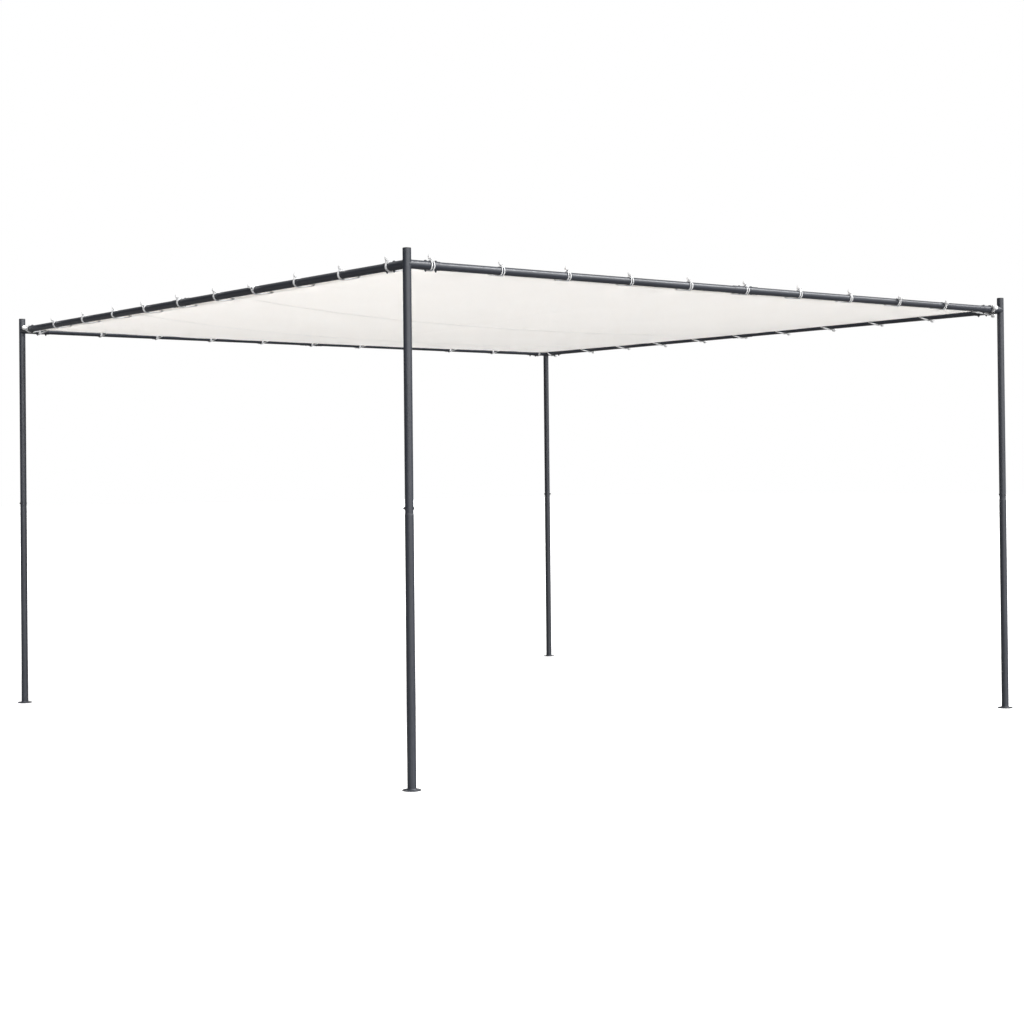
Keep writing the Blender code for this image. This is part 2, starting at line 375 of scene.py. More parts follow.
class Recipe(NodeWork):
    """A Geometry Nodes tree under construction, whose sizes are named inputs."""

    def __init__(self, name: str) -> None:
        """Start a tree with one geometry input and one geometry output.

        Args:
            name: its name.
        """
        super().__init__(bpy.data.node_groups.new(name, "GeometryNodeTree"))
        for way in ("INPUT", "OUTPUT"):
            self.tree.interface.new_socket(
                name="Geometry", in_out=way, socket_type="NodeSocketGeometry"
            )
        self.entry = self.tree.nodes.new("NodeGroupInput")
        self.values: dict[str, object] = {}

    @property
    def source(self) -> Socket:
        """The geometry that the tree starts from."""
        return self.entry.outputs["Geometry"]

    @property
    def paths(self) -> Socket:
        """The source's lines of edges as curves."""
        return self.add("GeometryNodeMeshToCurve", {0: self.source}).outputs[0]

    def given(self, label: str, value: object) -> Socket:
        """Add a named input and keep its value for the modifier.

        Args:
            label: the input's name.
            value: a length or a material.

        Returns:
            The input's socket inside the tree.
        """
        is_finish = isinstance(value, Material)
        kind = "NodeSocketMaterial" if is_finish else "NodeSocketFloat"
        item = self.tree.interface.new_socket(name=label, in_out="INPUT", socket_type=kind)
        self.values[item.identifier] = value
        return self.entry.outputs[label]

    def vector(self, x: object = 0.0, y: object = 0.0, z: object = 0.0) -> Socket:
        """A vector from its three parts."""
        return self.add("ShaderNodeCombineXYZ", {0: x, 1: y, 2: z}).outputs[0]

    def moved(
        self, shape: object, to: object = (0.0, 0.0, 0.0), size: object = (1.0, 1.0, 1.0)
    ) -> Socket:
        """Place a shape.

        Args:
            shape: the geometry.
            to: where its origin goes.
            size: its scale along each axis.

        Returns:
            The placed geometry.
        """
        plugs = {"Geometry": shape, "Translation": to, "Scale": size}
        return self.add("GeometryNodeTransform", plugs).outputs[0]

    def drum(self, radius: object, depth: object, sides: int) -> Socket:
        """A closed upright cylinder about the origin."""
        plugs = {"Vertices": sides, "Radius": radius, "Depth": depth}
        return self.add("GeometryNodeMeshCylinder", plugs).outputs["Mesh"]

    def ball(self, radius: object, segments: int, rings: int) -> Socket:
        """A sphere about the origin."""
        plugs = {"Segments": segments, "Rings": rings, "Radius": radius}
        return self.add("GeometryNodeMeshUVSphere", plugs).outputs["Mesh"]

    def circle(self, radius: object, sides: int) -> Socket:
        """A closed round curve about the origin."""
        plugs = {"Resolution": sides, "Radius": radius}
        return self.add("GeometryNodeCurvePrimitiveCircle", plugs).outputs[0]

    def swept(self, path: object, profile: object) -> Socket:
        """A profile swept along a path, with its ends closed."""
        plugs = {"Curve": path, "Profile Curve": profile, "Fill Caps": True}
        return self.add("GeometryNodeCurveToMesh", plugs).outputs[0]

    def marked(self, shape: object, name: str, measure: str) -> Socket:
        """Keep how far along its curve each point of a shape lies.

        Args:
            shape: the curve.
            name: the attribute's name.
            measure: Length for metres, or Factor for a share of the curve.

        Returns:
            The curve with that attribute.
        """
        value = self.add("GeometryNodeSplineParameter").outputs[measure]
        plugs = {"Geometry": shape, "Name": name, "Value": value}
        return self.add("GeometryNodeStoreNamedAttribute", plugs, data_type="FLOAT").outputs[0]

    def joined(self, *shapes: Socket) -> Socket:
        """Several geometries as one.

        Args:
            shapes: the geometries.

        Returns:
            All of them together.
        """
        node = self.add("GeometryNodeJoinGeometry")
        for shape in shapes:
            self.tree.links.new(shape, node.inputs[0])
        return node.outputs[0]

    def repeated(self, shape: object, points: object, way: object, axis: str) -> Socket:
        """Put a shape on each point.

        Args:
            shape: the geometry to repeat.
            points: where it goes.
            way: the direction that it takes there.
            axis: which of its axes follows that direction.

        Returns:
            The instances.
        """
        turned = self.add("FunctionNodeAlignRotationToVector", {"Vector": way}, axis=axis)
        plugs = {"Points": points, "Instance": shape, "Rotation": turned.outputs[0]}
        return self.add("GeometryNodeInstanceOnPoints", plugs).outputs[0]

    def at_points(self, shape: object) -> Socket:
        """Put a shape on each source point, its Z axis along the point's own direction."""
        way = self.add("GeometryNodeInputNamedAttribute", {"Name": AXIS}, data_type="FLOAT_VECTOR")
        return self.repeated(shape, self.source, way.outputs[0], "Z")

    def along_paths(self, shape: object, step: object) -> Socket:
        """Put a shape at even steps along the source's paths, its X axis along them."""
        plugs = {"Curve": self.paths, "Length": step}
        spots = self.add("GeometryNodeCurveToPoints", plugs, mode="LENGTH").outputs
        return self.repeated(shape, spots["Points"], spots["Tangent"], "X")

    def close(self, shape: object, finish: Material) -> None:
        """End the tree with real geometry, shaded smooth, in its finish.

        Args:
            shape: the geometry or instances.
            finish: the material of all of it.
        """
        real = self.add("GeometryNodeRealizeInstances", {0: shape}).outputs[0]
        shaded = self.add("GeometryNodeSetShadeSmooth", {0: real}).outputs[0]
        plugs = {"Geometry": shaded, "Material": self.given("Finish", finish)}
        painted = self.add("GeometryNodeSetMaterial", plugs).outputs[0]
        self.add("NodeGroupOutput", {"Geometry": painted})

    def make(self, name: str, source: Mesh) -> Mesh:
        """Run the tree on a mesh and keep the result as a plain mesh.

        Args:
            name: the new mesh's name.
            source: the points or paths that the tree starts from.

        Returns:
            The finished mesh.
        """
        guide = new_object(name + "_guide", source)
        modifier = guide.modifiers.new("recipe", "NODES")
        modifier.node_group = self.tree
        for identifier, value in self.values.items():
            modifier[identifier] = value
        mesh = evaluated_mesh(guide)
        mesh.name = name
        guide.modifiers.remove(modifier)
        bpy.data.objects.remove(guide, do_unlink=True)
        return mesh


# ---------------------------------------------------------------- finishes


@dataclass(frozen=True)
class PowderCoat:
    """Anthracite powder coat on steel, satin, with a fine orange peel and pale rubbed rims."""

    name: str = "anthracite_powder_coat"
    dark: Colour = (0.025, 0.028, 0.037, 1.0)
    light: Colour = (0.033, 0.037, 0.048, 1.0)
    rubbed: Colour = (0.060, 0.064, 0.074, 1.0)
    dust: Colour = (0.120, 0.116, 0.108, 1.0)
    dust_share: float = 0.06
    gloss: Band = (0.30, 0.45)
    cloud_scale: float = 2.5
    cloud_band: Band = (0.35, 0.65)
    fleck_scale: float = 90.0
    dust_band: Band = (0.48, 0.72)
    wear_band: Band = (0.40, 0.62)
    peel_scale: float = 1100.0
    peel_depth: float = 0.00012
    peel_strength: float = 0.5

    def build(self) -> Material:
        """Make the coat.

        Returns:
            The material.
        """
        work = SurfaceWork(self.name)
        cloud = work.noise(work.place, self.cloud_scale, 3.0)
        fleck = work.noise(work.place, self.fleck_scale, 4.0)
        peel = work.noise(work.place, self.peel_scale)
        coat = work.tint(work.span(cloud, self.cloud_band), self.dark, self.light)
        dusting = work.span(fleck, self.dust_band, (0.0, self.dust_share))
        dusted = work.tint(dusting, coat, self.dust)
        wear = work.sums("MULTIPLY", work.stored(WEAR), work.span(fleck, self.wear_band))
        work.colour(work.tint(wear, dusted, self.rubbed))
        work.roughness(work.span(fleck, NOISE_BAND, self.gloss))
        work.relief(peel, self.peel_depth, self.peel_strength)
        return work.material


@dataclass(frozen=True)
class MottledFinish:
    """What plain finishes share: colour and roughness follow one noise, under a fine relief."""

    name: str
    first: Colour
    second: Colour
    gloss: Band
    mottle_scale: float
    mottle_band: Band
    grain_scale: float
    grain_depth: float
    grain_strength: float
    mottle_detail: float = 4.0
    grain_detail: float = 2.0
    metal: float = 0.0
    glow_depth: float = 0.0
    scatter: Triple = (1.0, 1.0, 1.0)

    def build(self) -> Material:
        """Make the finish.

        Returns:
            The material.
        """
        work = SurfaceWork(self.name)
        mottle = work.noise(work.place, self.mottle_scale, self.mottle_detail)
        grain = work.noise(work.place, self.grain_scale, self.grain_detail)
        work.colour(work.tint(work.span(mottle, self.mottle_band), self.first, self.second))
        work.roughness(work.span(mottle, NOISE_BAND, self.gloss))
        work.fixed(Metallic=self.metal)
        if self.glow_depth:
            work.glow(self.glow_depth, self.scatter)
        work.relief(grain, self.grain_depth, self.grain_strength)
        return work.material


@dataclass(frozen=True)
class BlackPlastic(MottledFinish):
    """Moulded black plastic with a fine grain and light scuffs."""

    name: str = "moulded_black_plastic"
    first: Colour = (0.022, 0.022, 0.024, 1.0)
    second: Colour = (0.040, 0.040, 0.043, 1.0)
    gloss: Band = (0.45, 0.62)
    mottle_scale: float = 140.0
    mottle_band: Band = (0.45, 0.75)
    grain_scale: float = 1600.0
    grain_detail: float = 3.0
    grain_depth: float = 0.0001
    grain_strength: float = 0.6


@dataclass(frozen=True)
class DarkenedSteel(MottledFinish):
    """Blackened zinc on bolts and nuts."""

    name: str = "blackened_bolt_steel"
    first: Colour = (0.045, 0.047, 0.052, 1.0)
    second: Colour = (0.120, 0.122, 0.128, 1.0)
    gloss: Band = (0.30, 0.46)
    mottle_scale: float = 700.0
    mottle_band: Band = (0.45, 0.70)
    grain_scale: float = 700.0
    grain_detail: float = 4.0
    grain_depth: float = 0.00006
    grain_strength: float = 0.5
    metal: float = 0.55


@dataclass(frozen=True)
class WhitePlastic(MottledFinish):
    """Moulded white plastic, a little translucent and handled."""

    name: str = "white_ball_plastic"
    first: Colour = (0.930, 0.936, 0.945, 1.0)
    second: Colour = (0.870, 0.874, 0.878, 1.0)
    gloss: Band = (0.28, 0.44)
    mottle_scale: float = 120.0
    mottle_band: Band = (0.40, 0.75)
    grain_scale: float = 1500.0
    grain_depth: float = 0.00008
    grain_strength: float = 0.4
    glow_depth: float = 0.030


@dataclass(frozen=True)
class SewingThread(MottledFinish):
    """Twisted off-white thread."""

    name: str = "off_white_thread"
    first: Colour = (0.780, 0.755, 0.720, 1.0)
    second: Colour = (0.900, 0.880, 0.850, 1.0)
    gloss: Band = (0.50, 0.70)
    mottle_scale: float = 2200.0
    mottle_detail: float = 2.0
    mottle_band: Band = NOISE_BAND
    grain_scale: float = 2200.0
    grain_depth: float = 0.00010
    grain_strength: float = 0.6
    glow_depth: float = 0.014
    scatter: Triple = (1.0, 0.90, 0.77)


@dataclass(frozen=True)
class CoatedCloth:
    """Woven polyester with a matt coating, whose threads follow the piece's own UV map, with
    painted shade in the gaps between its threads.
    """

    name: str = "coated_canopy_cloth"
    pale: Colour = (0.965, 0.852, 0.752, 1.0)
    # The deeper tone of the random clouds and slubs, also used as painted shade in the gaps
    # between threads.
    deep: Colour = (0.940, 0.824, 0.722, 1.0)
    gloss: Band = (0.62, 0.78)
    glow_weight: float = 1.0
    glow_depth: float = 0.026
    scatter: Triple = (1.0, 0.92, 0.86)
    thread_pitch: float = 0.0011
    thread_depth: float = 0.00010
    thread_strength: float = 0.5
    # Painted shade: the gaps between threads take up to this share of the deeper tone.
    gap_band: Band = (0.0, 0.6)
    gap_share: float = 0.10
    slub_scale: float = 260.0
    slub_band: Band = (0.4, 0.7)
    slub_share: float = 0.3
    cloud_scale: float = 1.7
    cloud_share: float = 0.7

    def build(self) -> Material:
        """Make the cloth.

        Returns:
            The material.
        """
        work = SurfaceWork(self.name)
        flat = work.add("ShaderNodeUVMap", uv_map=FLAT_MAP).outputs["UV"]
        warp = work.waves(flat, self.thread_pitch, "X")
        weft = work.waves(flat, self.thread_pitch, "Y")
        weave = work.sums("MAXIMUM", warp, weft)
        slub = work.noise(flat, self.slub_scale, 3.0)
        cloud = work.noise(flat, self.cloud_scale, 4.0)
        clouded = work.span(cloud, NOISE_BAND, (0.0, self.cloud_share))
        slubbed = work.span(slub, self.slub_band, (0.0, self.slub_share))
        cloth = work.tint(work.sums("ADD", clouded, slubbed), self.pale, self.deep)
        # Painted shade: the gaps between the threads are tinted towards the deeper tone.
        painted_gap_shade = work.span(weave, self.gap_band, (self.gap_share, 0.0))
        work.colour(work.tint(painted_gap_shade, cloth, self.deep))
        work.roughness(work.span(slub, NOISE_BAND, self.gloss))
        work.fixed(Specular_IOR_Level=0.0)
        work.glow(self.glow_depth, self.scatter, self.glow_weight)
        work.relief(weave, self.thread_depth, self.thread_strength)
        return work.material


@dataclass(frozen=True)
class BraidedElastic:
    """A white braided sheath, whose strands cross as they run round the cord, with painted shade
    in the troughs between the strands.
    """

    name: str = "white_braided_elastic"
    pale: Colour = (0.940, 0.950, 0.965, 1.0)
    # Painted shade: the colour of the troughs between the strands.
    deep: Colour = (0.820, 0.832, 0.855, 1.0)
    gloss: Band = (0.72, 0.55)
    strand_count: float = 6.0
    strand_pitch: float = 0.009
    braid_band: Band = (-0.4, 1.0)
    depth: float = 0.0003
    strength: float = 0.5
    glow_depth: float = 0.020
    sheen: float = 0.2

    def build(self) -> Material:
        """Make the sheath.

        Returns:
            The material.
        """
        work = SurfaceWork(self.name)
        turn = work.sums("MULTIPLY", work.stored(CORD_TURN), self.strand_count)
        run = work.sums("DIVIDE", work.stored(CORD_RUN), self.strand_pitch)
        ridges = []
        for step in ("ADD", "SUBTRACT"):
            phase = work.sums("MULTIPLY", work.sums(step, turn, run), 2 * math.pi)
            ridges.append(work.sums("SINE", phase))
        braid = work.span(work.sums("MAXIMUM", *ridges), self.braid_band)
        # Painted shade: the braid's troughs are tinted towards the deeper colour, while its ridges
        # stay pale.
        work.colour(work.tint(braid, self.deep, self.pale))
        work.roughness(work.span(braid, (0.0, 1.0), self.gloss))
        work.fixed(Sheen_Weight=self.sheen)
        work.glow(self.glow_depth)
        work.relief(braid, self.depth, self.strength)
        return work.material


DUSTY_COAT = PowderCoat(name="dusty_foot_coat", dust_share=0.30)
WHITE_LACQUER = WhitePlastic(name="white_lacquered_eyelet")
DOUBLED_CLOTH = CoatedCloth(
    name="doubled_hem_cloth",
    pale=(0.965, 0.858, 0.762, 1.0),
    # The hem's deeper tone, also used as painted shade in the gaps between threads.
    deep=(0.940, 0.830, 0.732, 1.0),
    glow_weight=0.95,
)


@dataclass(frozen=True)
class Finishes:
    """Every finish of the gazebo, made once."""

    coat: Material = field(default_factory=PowderCoat().build)
    foot: Material = field(default_factory=DUSTY_COAT.build)
    cap: Material = field(default_factory=BlackPlastic().build)
    bolt: Material = field(default_factory=DarkenedSteel().build)
    eyelet: Material = field(default_factory=WHITE_LACQUER.build)
    cloth: Material = field(default_factory=CoatedCloth().build)
    hem: Material = field(default_factory=DOUBLED_CLOTH.build)
    elastic: Material = field(default_factory=BraidedElastic().build)
    ball: Material = field(default_factory=WhitePlastic().build)
    thread: Material = field(default_factory=SewingThread().build)


# ---------------------------------------------------------------- meshes


def new_object(name: str, data: bpy.types.ID) -> Object:
    """Make an object and link it to the scene.

    Args:
        name: its name.
        data: its mesh, lamp or camera.

    Returns:
        The object.
    """
    made = bpy.data.objects.new(name, data)
    bpy.context.scene.collection.objects.link(made)
    return made


def evaluated_mesh(obj: Object) -> Mesh:
    """A plain mesh of an object with its modifiers applied.

    Args:
        obj: the object.

    Returns:
        The mesh.
    """
    graph = bpy.context.evaluated_depsgraph_get()
    seen = obj.evaluated_get(graph)
    return bpy.data.meshes.new_from_object(seen, preserve_all_data_layers=True, depsgraph=graph)


def mesh_of(name: str, points: Sequence, edges: Sequence = (), faces: Sequence = ()) -> Mesh:
    """A mesh from plain lists.

    Args:
        name: the mesh's name.
        points: the vertices.
        edges: pairs of vertex numbers.
        faces: lists of vertex numbers.

    Returns:
        The mesh.
    """
    mesh = bpy.data.meshes.new(name)
    mesh.from_pydata([tuple(point) for point in points], list(edges), list(faces))
    return mesh


def mesh_from(name: str, shape: bmesh.types.BMesh) -> Mesh:
    """A mesh from a bmesh, which is freed.

    Args:
        name: the mesh's name.
        shape: the bmesh.

    Returns:
        The mesh.
    """
    mesh = bpy.data.meshes.new(name)
    shape.to_mesh(mesh)
    shape.free()
    return mesh


def rods_mesh(
    name: str, radius: float, length: float, sides: int, places: Iterable[Matrix]
) -> Mesh:
    """Solid rods of one size.

    Args:
        name: the mesh's name.
        radius: their radius.
        length: their length.
        sides: how many faces each has round it.
        places: the frame that each stands upright in, about its middle.

    Returns:
        The mesh.
    """
    shape = bmesh.new()
    for place in places:
        bmesh.ops.create_cone(
            shape,
            cap_ends=True,
            segments=sides,
            radius1=radius,
            radius2=radius,
            depth=length,
            matrix=place,
        )
    return mesh_from(name, shape)


def outward(mesh: Mesh) -> None:
    """Turn every face of a closed mesh outwards.

    Args:
        mesh: the mesh.
    """
    shape = bmesh.new()
    shape.from_mesh(mesh)
    bmesh.ops.recalc_face_normals(shape, faces=shape.faces)
    shape.to_mesh(mesh)
    shape.free()


def soften(mesh: Mesh, degrees: float = 32.0) -> None:
    """Shade a mesh smooth, apart from edges that turn by more than an angle."""
    mesh.shade_smooth()
    mesh.set_sharp_from_angle(angle=math.radians(degrees))


def on_circle(radius: float, angle: float) -> Band:
    """The point at an angle round a circle about the origin."""
    return radius * math.cos(angle), radius * math.sin(angle)


def lathe(name: str, outline: Outline, sides: int, ring: bool) -> Mesh:
    """Turn an outline about the upright axis.

    Args:
        name: the mesh's name.
        outline: pairs of radius and height.
        sides: how many steps the turn has.
        ring: whether the outline is a closed loop; otherwise both its ends lie on the axis.

    Returns:
        A closed mesh.
    """
    points: list[Triple] = []
    rows: list[list[int]] = []
    for radius, height in outline:
        if radius == 0.0:
            rows.append([len(points)] * sides)
            points.append((0.0, 0.0, height))
            continue
        rows.append(list(range(len(points), len(points) + sides)))
        for i in range(sides):
            points.append((*on_circle(radius, 2 * math.pi * i / sides), height))
    faces = []
    following = rows[1:] + (rows[:1] if ring else [])
    for here, there in zip(rows, following):
        for i in range(sides):
            j = (i + 1) % sides
            faces.append(list(dict.fromkeys((here[i], here[j], there[j], there[i]))))
    mesh = mesh_of(name, points, faces=faces)
    outward(mesh)
    return mesh


def store(mesh: Mesh, name: str, kind: str, values: np.ndarray) -> None:
    """Keep a number or a vector at each point of a mesh.

    Args:
        mesh: the mesh.
        name: the attribute's name.
        kind: FLOAT or FLOAT_VECTOR.
        values: one row for each point.
    """
    attribute = mesh.attributes.new(name, kind, "POINT")
    attribute.data.foreach_set(
        "value" if kind == "FLOAT" else "vector", np.asarray(values, np.float32).ravel()
    )


def coordinates(mesh: Mesh) -> np.ndarray:
    """A mesh's points.

    Args:
        mesh: the mesh.

    Returns:
        Rows of x, y and z.
    """
    flat = np.zeros(len(mesh.vertices) * 3, np.float32)
    mesh.vertices.foreach_get("co", flat)
    return flat.reshape(-1, 3).astype(float)


def rub_ends(mesh: Mesh, heights: Iterable[float]) -> None:
    """Mark the rims that handling rubs pale.

    Args:
        mesh: the mesh, upright about its own axis.
        heights: the heights of its rims.
    """
    z = coordinates(mesh)[:, 2]
    distance = np.min([np.abs(z - height) for height in heights], axis=0)
    store(mesh, WEAR, "FLOAT", np.clip(1.0 - distance / RUB_REACH, 0.0, 1.0))


def points_mesh(name: str, spots: Sequence, axes: Sequence) -> Mesh:
    """Loose points for a recipe to put shapes on.

    Args:
        name: the mesh's name.
        spots: the points.
        axes: the direction that each carries.

    Returns:
        The mesh.
    """
    mesh = mesh_of(name, spots)
    store(mesh, AXIS, "FLOAT_VECTOR", np.array([tuple(axis) for axis in axes]))
    return mesh


def paths_mesh(name: str, paths: Sequence[Sequence]) -> Mesh:
    """Open lines of edges for a recipe to follow.

    Args:
        name: the mesh's name.
        paths: the points of each line in turn.

    Returns:
        The mesh.
    """
    points: list = []
    edges: list[tuple[int, int]] = []
    for path in paths:
        first = len(points)
        points.extend(path)
        edges.extend((first + i, first + i + 1) for i in range(len(path) - 1))
    return mesh_of(name, points, edges)


def cut_mesh(body: Mesh, tools: Sequence[Mesh]) -> Mesh:
    """Cut solid shapes away from another.

    Args:
        body: the mesh that is cut.
        tools: the closed meshes that are cut away, in the same frame.

    Returns:
        The new mesh.
    """
    block = new_object(body.name, body)
    cutters = [new_object(tool.name, tool) for tool in tools]
    for cutter in cutters:
        step = block.modifiers.new(cutter.name, "BOOLEAN")
        step.operation = "DIFFERENCE"
        step.solver = "EXACT"
        step.object = cutter
    mesh = evaluated_mesh(block)
    for obj in (block, *cutters):
        bpy.data.objects.remove(obj, do_unlink=True)
    return mesh


def add_piece(
    name: str,
    mesh: Mesh,
    finish: Material,
    stands_for: Sequence[str] = (),
) -> Object:
    """Put a finished mesh into the scene as a piece of the gazebo.

    Args:
        name: the piece's name.
        mesh: its mesh, with its place in its points.
        finish: its material.
        stands_for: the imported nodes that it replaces.

    Returns:
        The piece.
    """
    mesh.name = name
    mesh.materials.clear()
    mesh.materials.append(finish)
    piece = new_object(name, mesh)
    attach(piece, BODY)
    if stands_for:
        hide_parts(*stands_for)
    LOG.info("%s: %d faces", name, len(mesh.polygons))
    return piece


# ---------------------------------------------------------------- tubes and posts


@dataclass(frozen=True)
class Tube:
    """A round tube that stands on its own axis, with softened rims."""

    radius: float
    low: float
    high: float

    def outline(self) -> Outline:
        """The wall in section.

        Returns:
            Pairs of radius and height, down the outer face and up the inner one.
        """
        outer, inner = self.radius, self.radius - SIZES.wall
        low, high, rim = self.low, self.high, TUBE_RIM
        return [
            (outer - rim, high),
            (outer, high - rim),
            (outer, high - RUB_REACH),
            (outer, low + RUB_REACH),
            (outer, low + rim),
            (outer - rim, low),
            (inner + rim, low),
            (inner, low + rim),
            (inner, high - rim),
            (inner + rim, high),
        ]

    def mesh(self, name: str) -> Mesh:
        """The tube with its rims marked for wear.

        Args:
            name: the mesh's name.

        Returns:
            A closed mesh.
        """
        mesh = lathe(name, self.outline(), TUBE_SIDES, ring=True)
        rub_ends(mesh, (self.low, self.high))
        soften(mesh)
        return mesh


@dataclass(frozen=True)
class FootPlate:
    """A round foot: a disc that rises to a collar round the post, with holes for pegs.

    The weld's points are given out from the post and up from the collar's top, and the
    collar's toe out from its radius and up from the disc's middle.
    """

    radius: float = 0.040
    edge: float = 0.003
    bevel: float = 0.0008
    bevel_cut: float = 0.3
    rim_width: float = 0.004
    rim_rise: float = 0.0001
    centre: float = 0.004
    collar_radius: float = 0.0225
    collar_height: float = 0.0095
    weld: Outline = ((0.0002, 0.0), (0.0012, -0.0006), (0.0020, -0.0030))
    toe: Outline = ((0.0, 0.0006), (0.0025, -0.0002))
    spigot_radius: float = 0.0174
    spigot_height: float = 0.050
    hole_radius: float = 0.0035
    hole_circle: float = 0.030
    hole_sides: int = 24
    drill_length: float = 0.04
    holes: int = 4
    sides: int = 96
    rubbed_width: float = 0.006
    rubbed_above: float = 0.001

    def outline(self) -> Outline:
        """The foot in section.

        Returns:
            Pairs of radius and height, from the axis at the top to the axis at the bottom.
        """
        inner = self.spigot_radius - SIZES.wall
        radius, edge, cut = self.radius, self.edge, self.bevel_cut * self.bevel
        return [
            (0.0, self.centre),
            (inner, self.centre),
            (inner, self.spigot_height),
            (self.spigot_radius, self.spigot_height),
            (self.spigot_radius, self.centre),
            (SIZES.lower_post + self.weld[0][0], self.centre),
            *((SIZES.lower_post + out, self.collar_height + up) for out, up in self.weld),
            *((self.collar_radius + out, self.centre + up) for out, up in self.toe),
            (radius - self.rim_width, edge + self.rim_rise),
            (radius - self.bevel, edge),
            (radius - cut, edge - cut),
            (radius, edge - self.bevel),
            (radius, cut),
            (radius - cut, 0.0),
            (0.0, 0.0),
        ]

    def drills(self, name: str) -> Mesh:
        """The peg holes as solid rods.

        Args:
            name: the mesh's name.

        Returns:
            A mesh to cut away.
        """
        places = []
        for i in range(self.holes):
            angle = math.pi / 4 + 2 * math.pi * i / self.holes
            x, y = on_circle(self.hole_circle, angle)
            places.append(Matrix.Translation((x, y, 0.0)))
        return rods_mesh(name, self.hole_radius, self.drill_length, self.hole_sides, places)

    def build(self, corner: Corner, finishes: Finishes) -> Object:
        """Make the foot under one post.

        Args:
            corner: which post.
            finishes: the gazebo's finishes.

        Returns:
            The piece.
        """
        name = "foot_plate_" + corner.label
        disc = lathe(name + "_disc", self.outline(), self.sides, ring=False)
        mesh = cut_mesh(disc, [self.drills(name + "_drills")])
        x, y, z = coordinates(mesh).T
        rim = 1.0 - (self.radius - np.hypot(x, y)) / self.rubbed_width
        store(mesh, WEAR, "FLOAT", np.clip(rim, 0.0, 1.0) * (z > self.rubbed_above))
        soften(mesh)
        mesh.transform(corner.place)
        return add_piece(name + "_round", mesh, finishes.foot, [name])


@dataclass
class Post:
    """One post: foot, lower tube with its drawn-in neck, upper tube and cap.

    The shoulder's points are given in from the lower tube's face and up from its last full
    height, and the cap's in from its face and down from its top.
    """

    corner: Corner
    foot: FootPlate = field(default_factory=FootPlate)
    foot_clearance: float = 0.0043
    neck_length: float = 0.080
    lip: Band = (0.0006, 0.0005)
    shoulder: float = 0.002
    shoulder_curve: Outline = ((0.0002, 0.0003), (0.0, -0.0004), (0.0, -RUB_REACH))
    cap_thickness: float = 0.004
    cap_plug: float = 0.012
    cap_curve: Outline = (
        (0.0099, 0.0001),
        (0.0035, 0.0004),
        (0.0009, 0.000825),
        (0.000225, 0.00165),
        (0.0, 0.00255),
    )

    def lower_mesh(self) -> Mesh:
        """The lower tube, whose neck is drawn in to enter the upper one.

        Returns:
            A closed mesh.
        """
        outer, upper, wall = SIZES.lower_post, SIZES.upper_post, SIZES.wall
        neck = upper - wall - SIZES.fit
        low, top = self.foot_clearance, SIZES.joint_height
        full = top - self.shoulder
        outline = [
            (neck, top + self.neck_length),
            (neck, top),
            (upper - self.lip[0], top),
            (upper, top - self.lip[1]),
            *((outer - inset, full + up) for inset, up in self.shoulder_curve),
            (outer, low + RUB_REACH),
            (outer, low + TUBE_RIM),
            (outer - TUBE_RIM, low),
            (outer - wall, low),
            (outer - wall, full - self.shoulder),
            (neck - wall, full),
            (neck - wall, top + self.neck_length),
        ]
        mesh = lathe("lower", outline, TUBE_SIDES, ring=True)
        rub_ends(mesh, (low,))
        soften(mesh)
        return mesh

    def cap_mesh(self) -> Mesh:
        """The push-in cap, slightly domed.

        Returns:
            A closed mesh.
        """
        height, radius = SIZES.height, SIZES.upper_post
        under = height - self.cap_thickness
        plug = radius - SIZES.wall - SIZES.fit
        outline = [
            (0.0, height),
            *((radius - inset, height - drop) for inset, drop in self.cap_curve),
            (radius, under),
            (plug, under),
            (plug, under - self.cap_plug),
            (0.0, under - self.cap_plug),
        ]
        mesh = lathe("cap", outline, TUBE_SIDES, ring=False)
        soften(mesh)
        return mesh

    def build(self, finishes: Finishes) -> list[Object]:
        """Make the post's pieces, apart from its bolt.

        Args:
            finishes: the gazebo's finishes.

        Returns:
            The pieces, from the ground up.
        """
        upper = Tube(
            radius=SIZES.upper_post,
            low=SIZES.joint_height + SIZES.fit,
            high=SIZES.height - self.cap_thickness - SIZES.fit,
        )
        made = [self.foot.build(self.corner, finishes)]
        for kind, mesh, finish, slot in (
            ("lower_post_", self.lower_mesh(), finishes.coat, Slot.FRAME),
            ("upper_post_", upper.mesh("upper"), finishes.coat, Slot.FRAME),
            ("post_cap_", self.cap_mesh(), finishes.cap, Slot.CAP),
        ):
            node = kind + self.corner.label
            mesh.transform(self.corner.place)
            made.append(add_piece(node + "_round", mesh, finish, [node]))
        return made


# ---------------------------------------------------------------- ring of rails


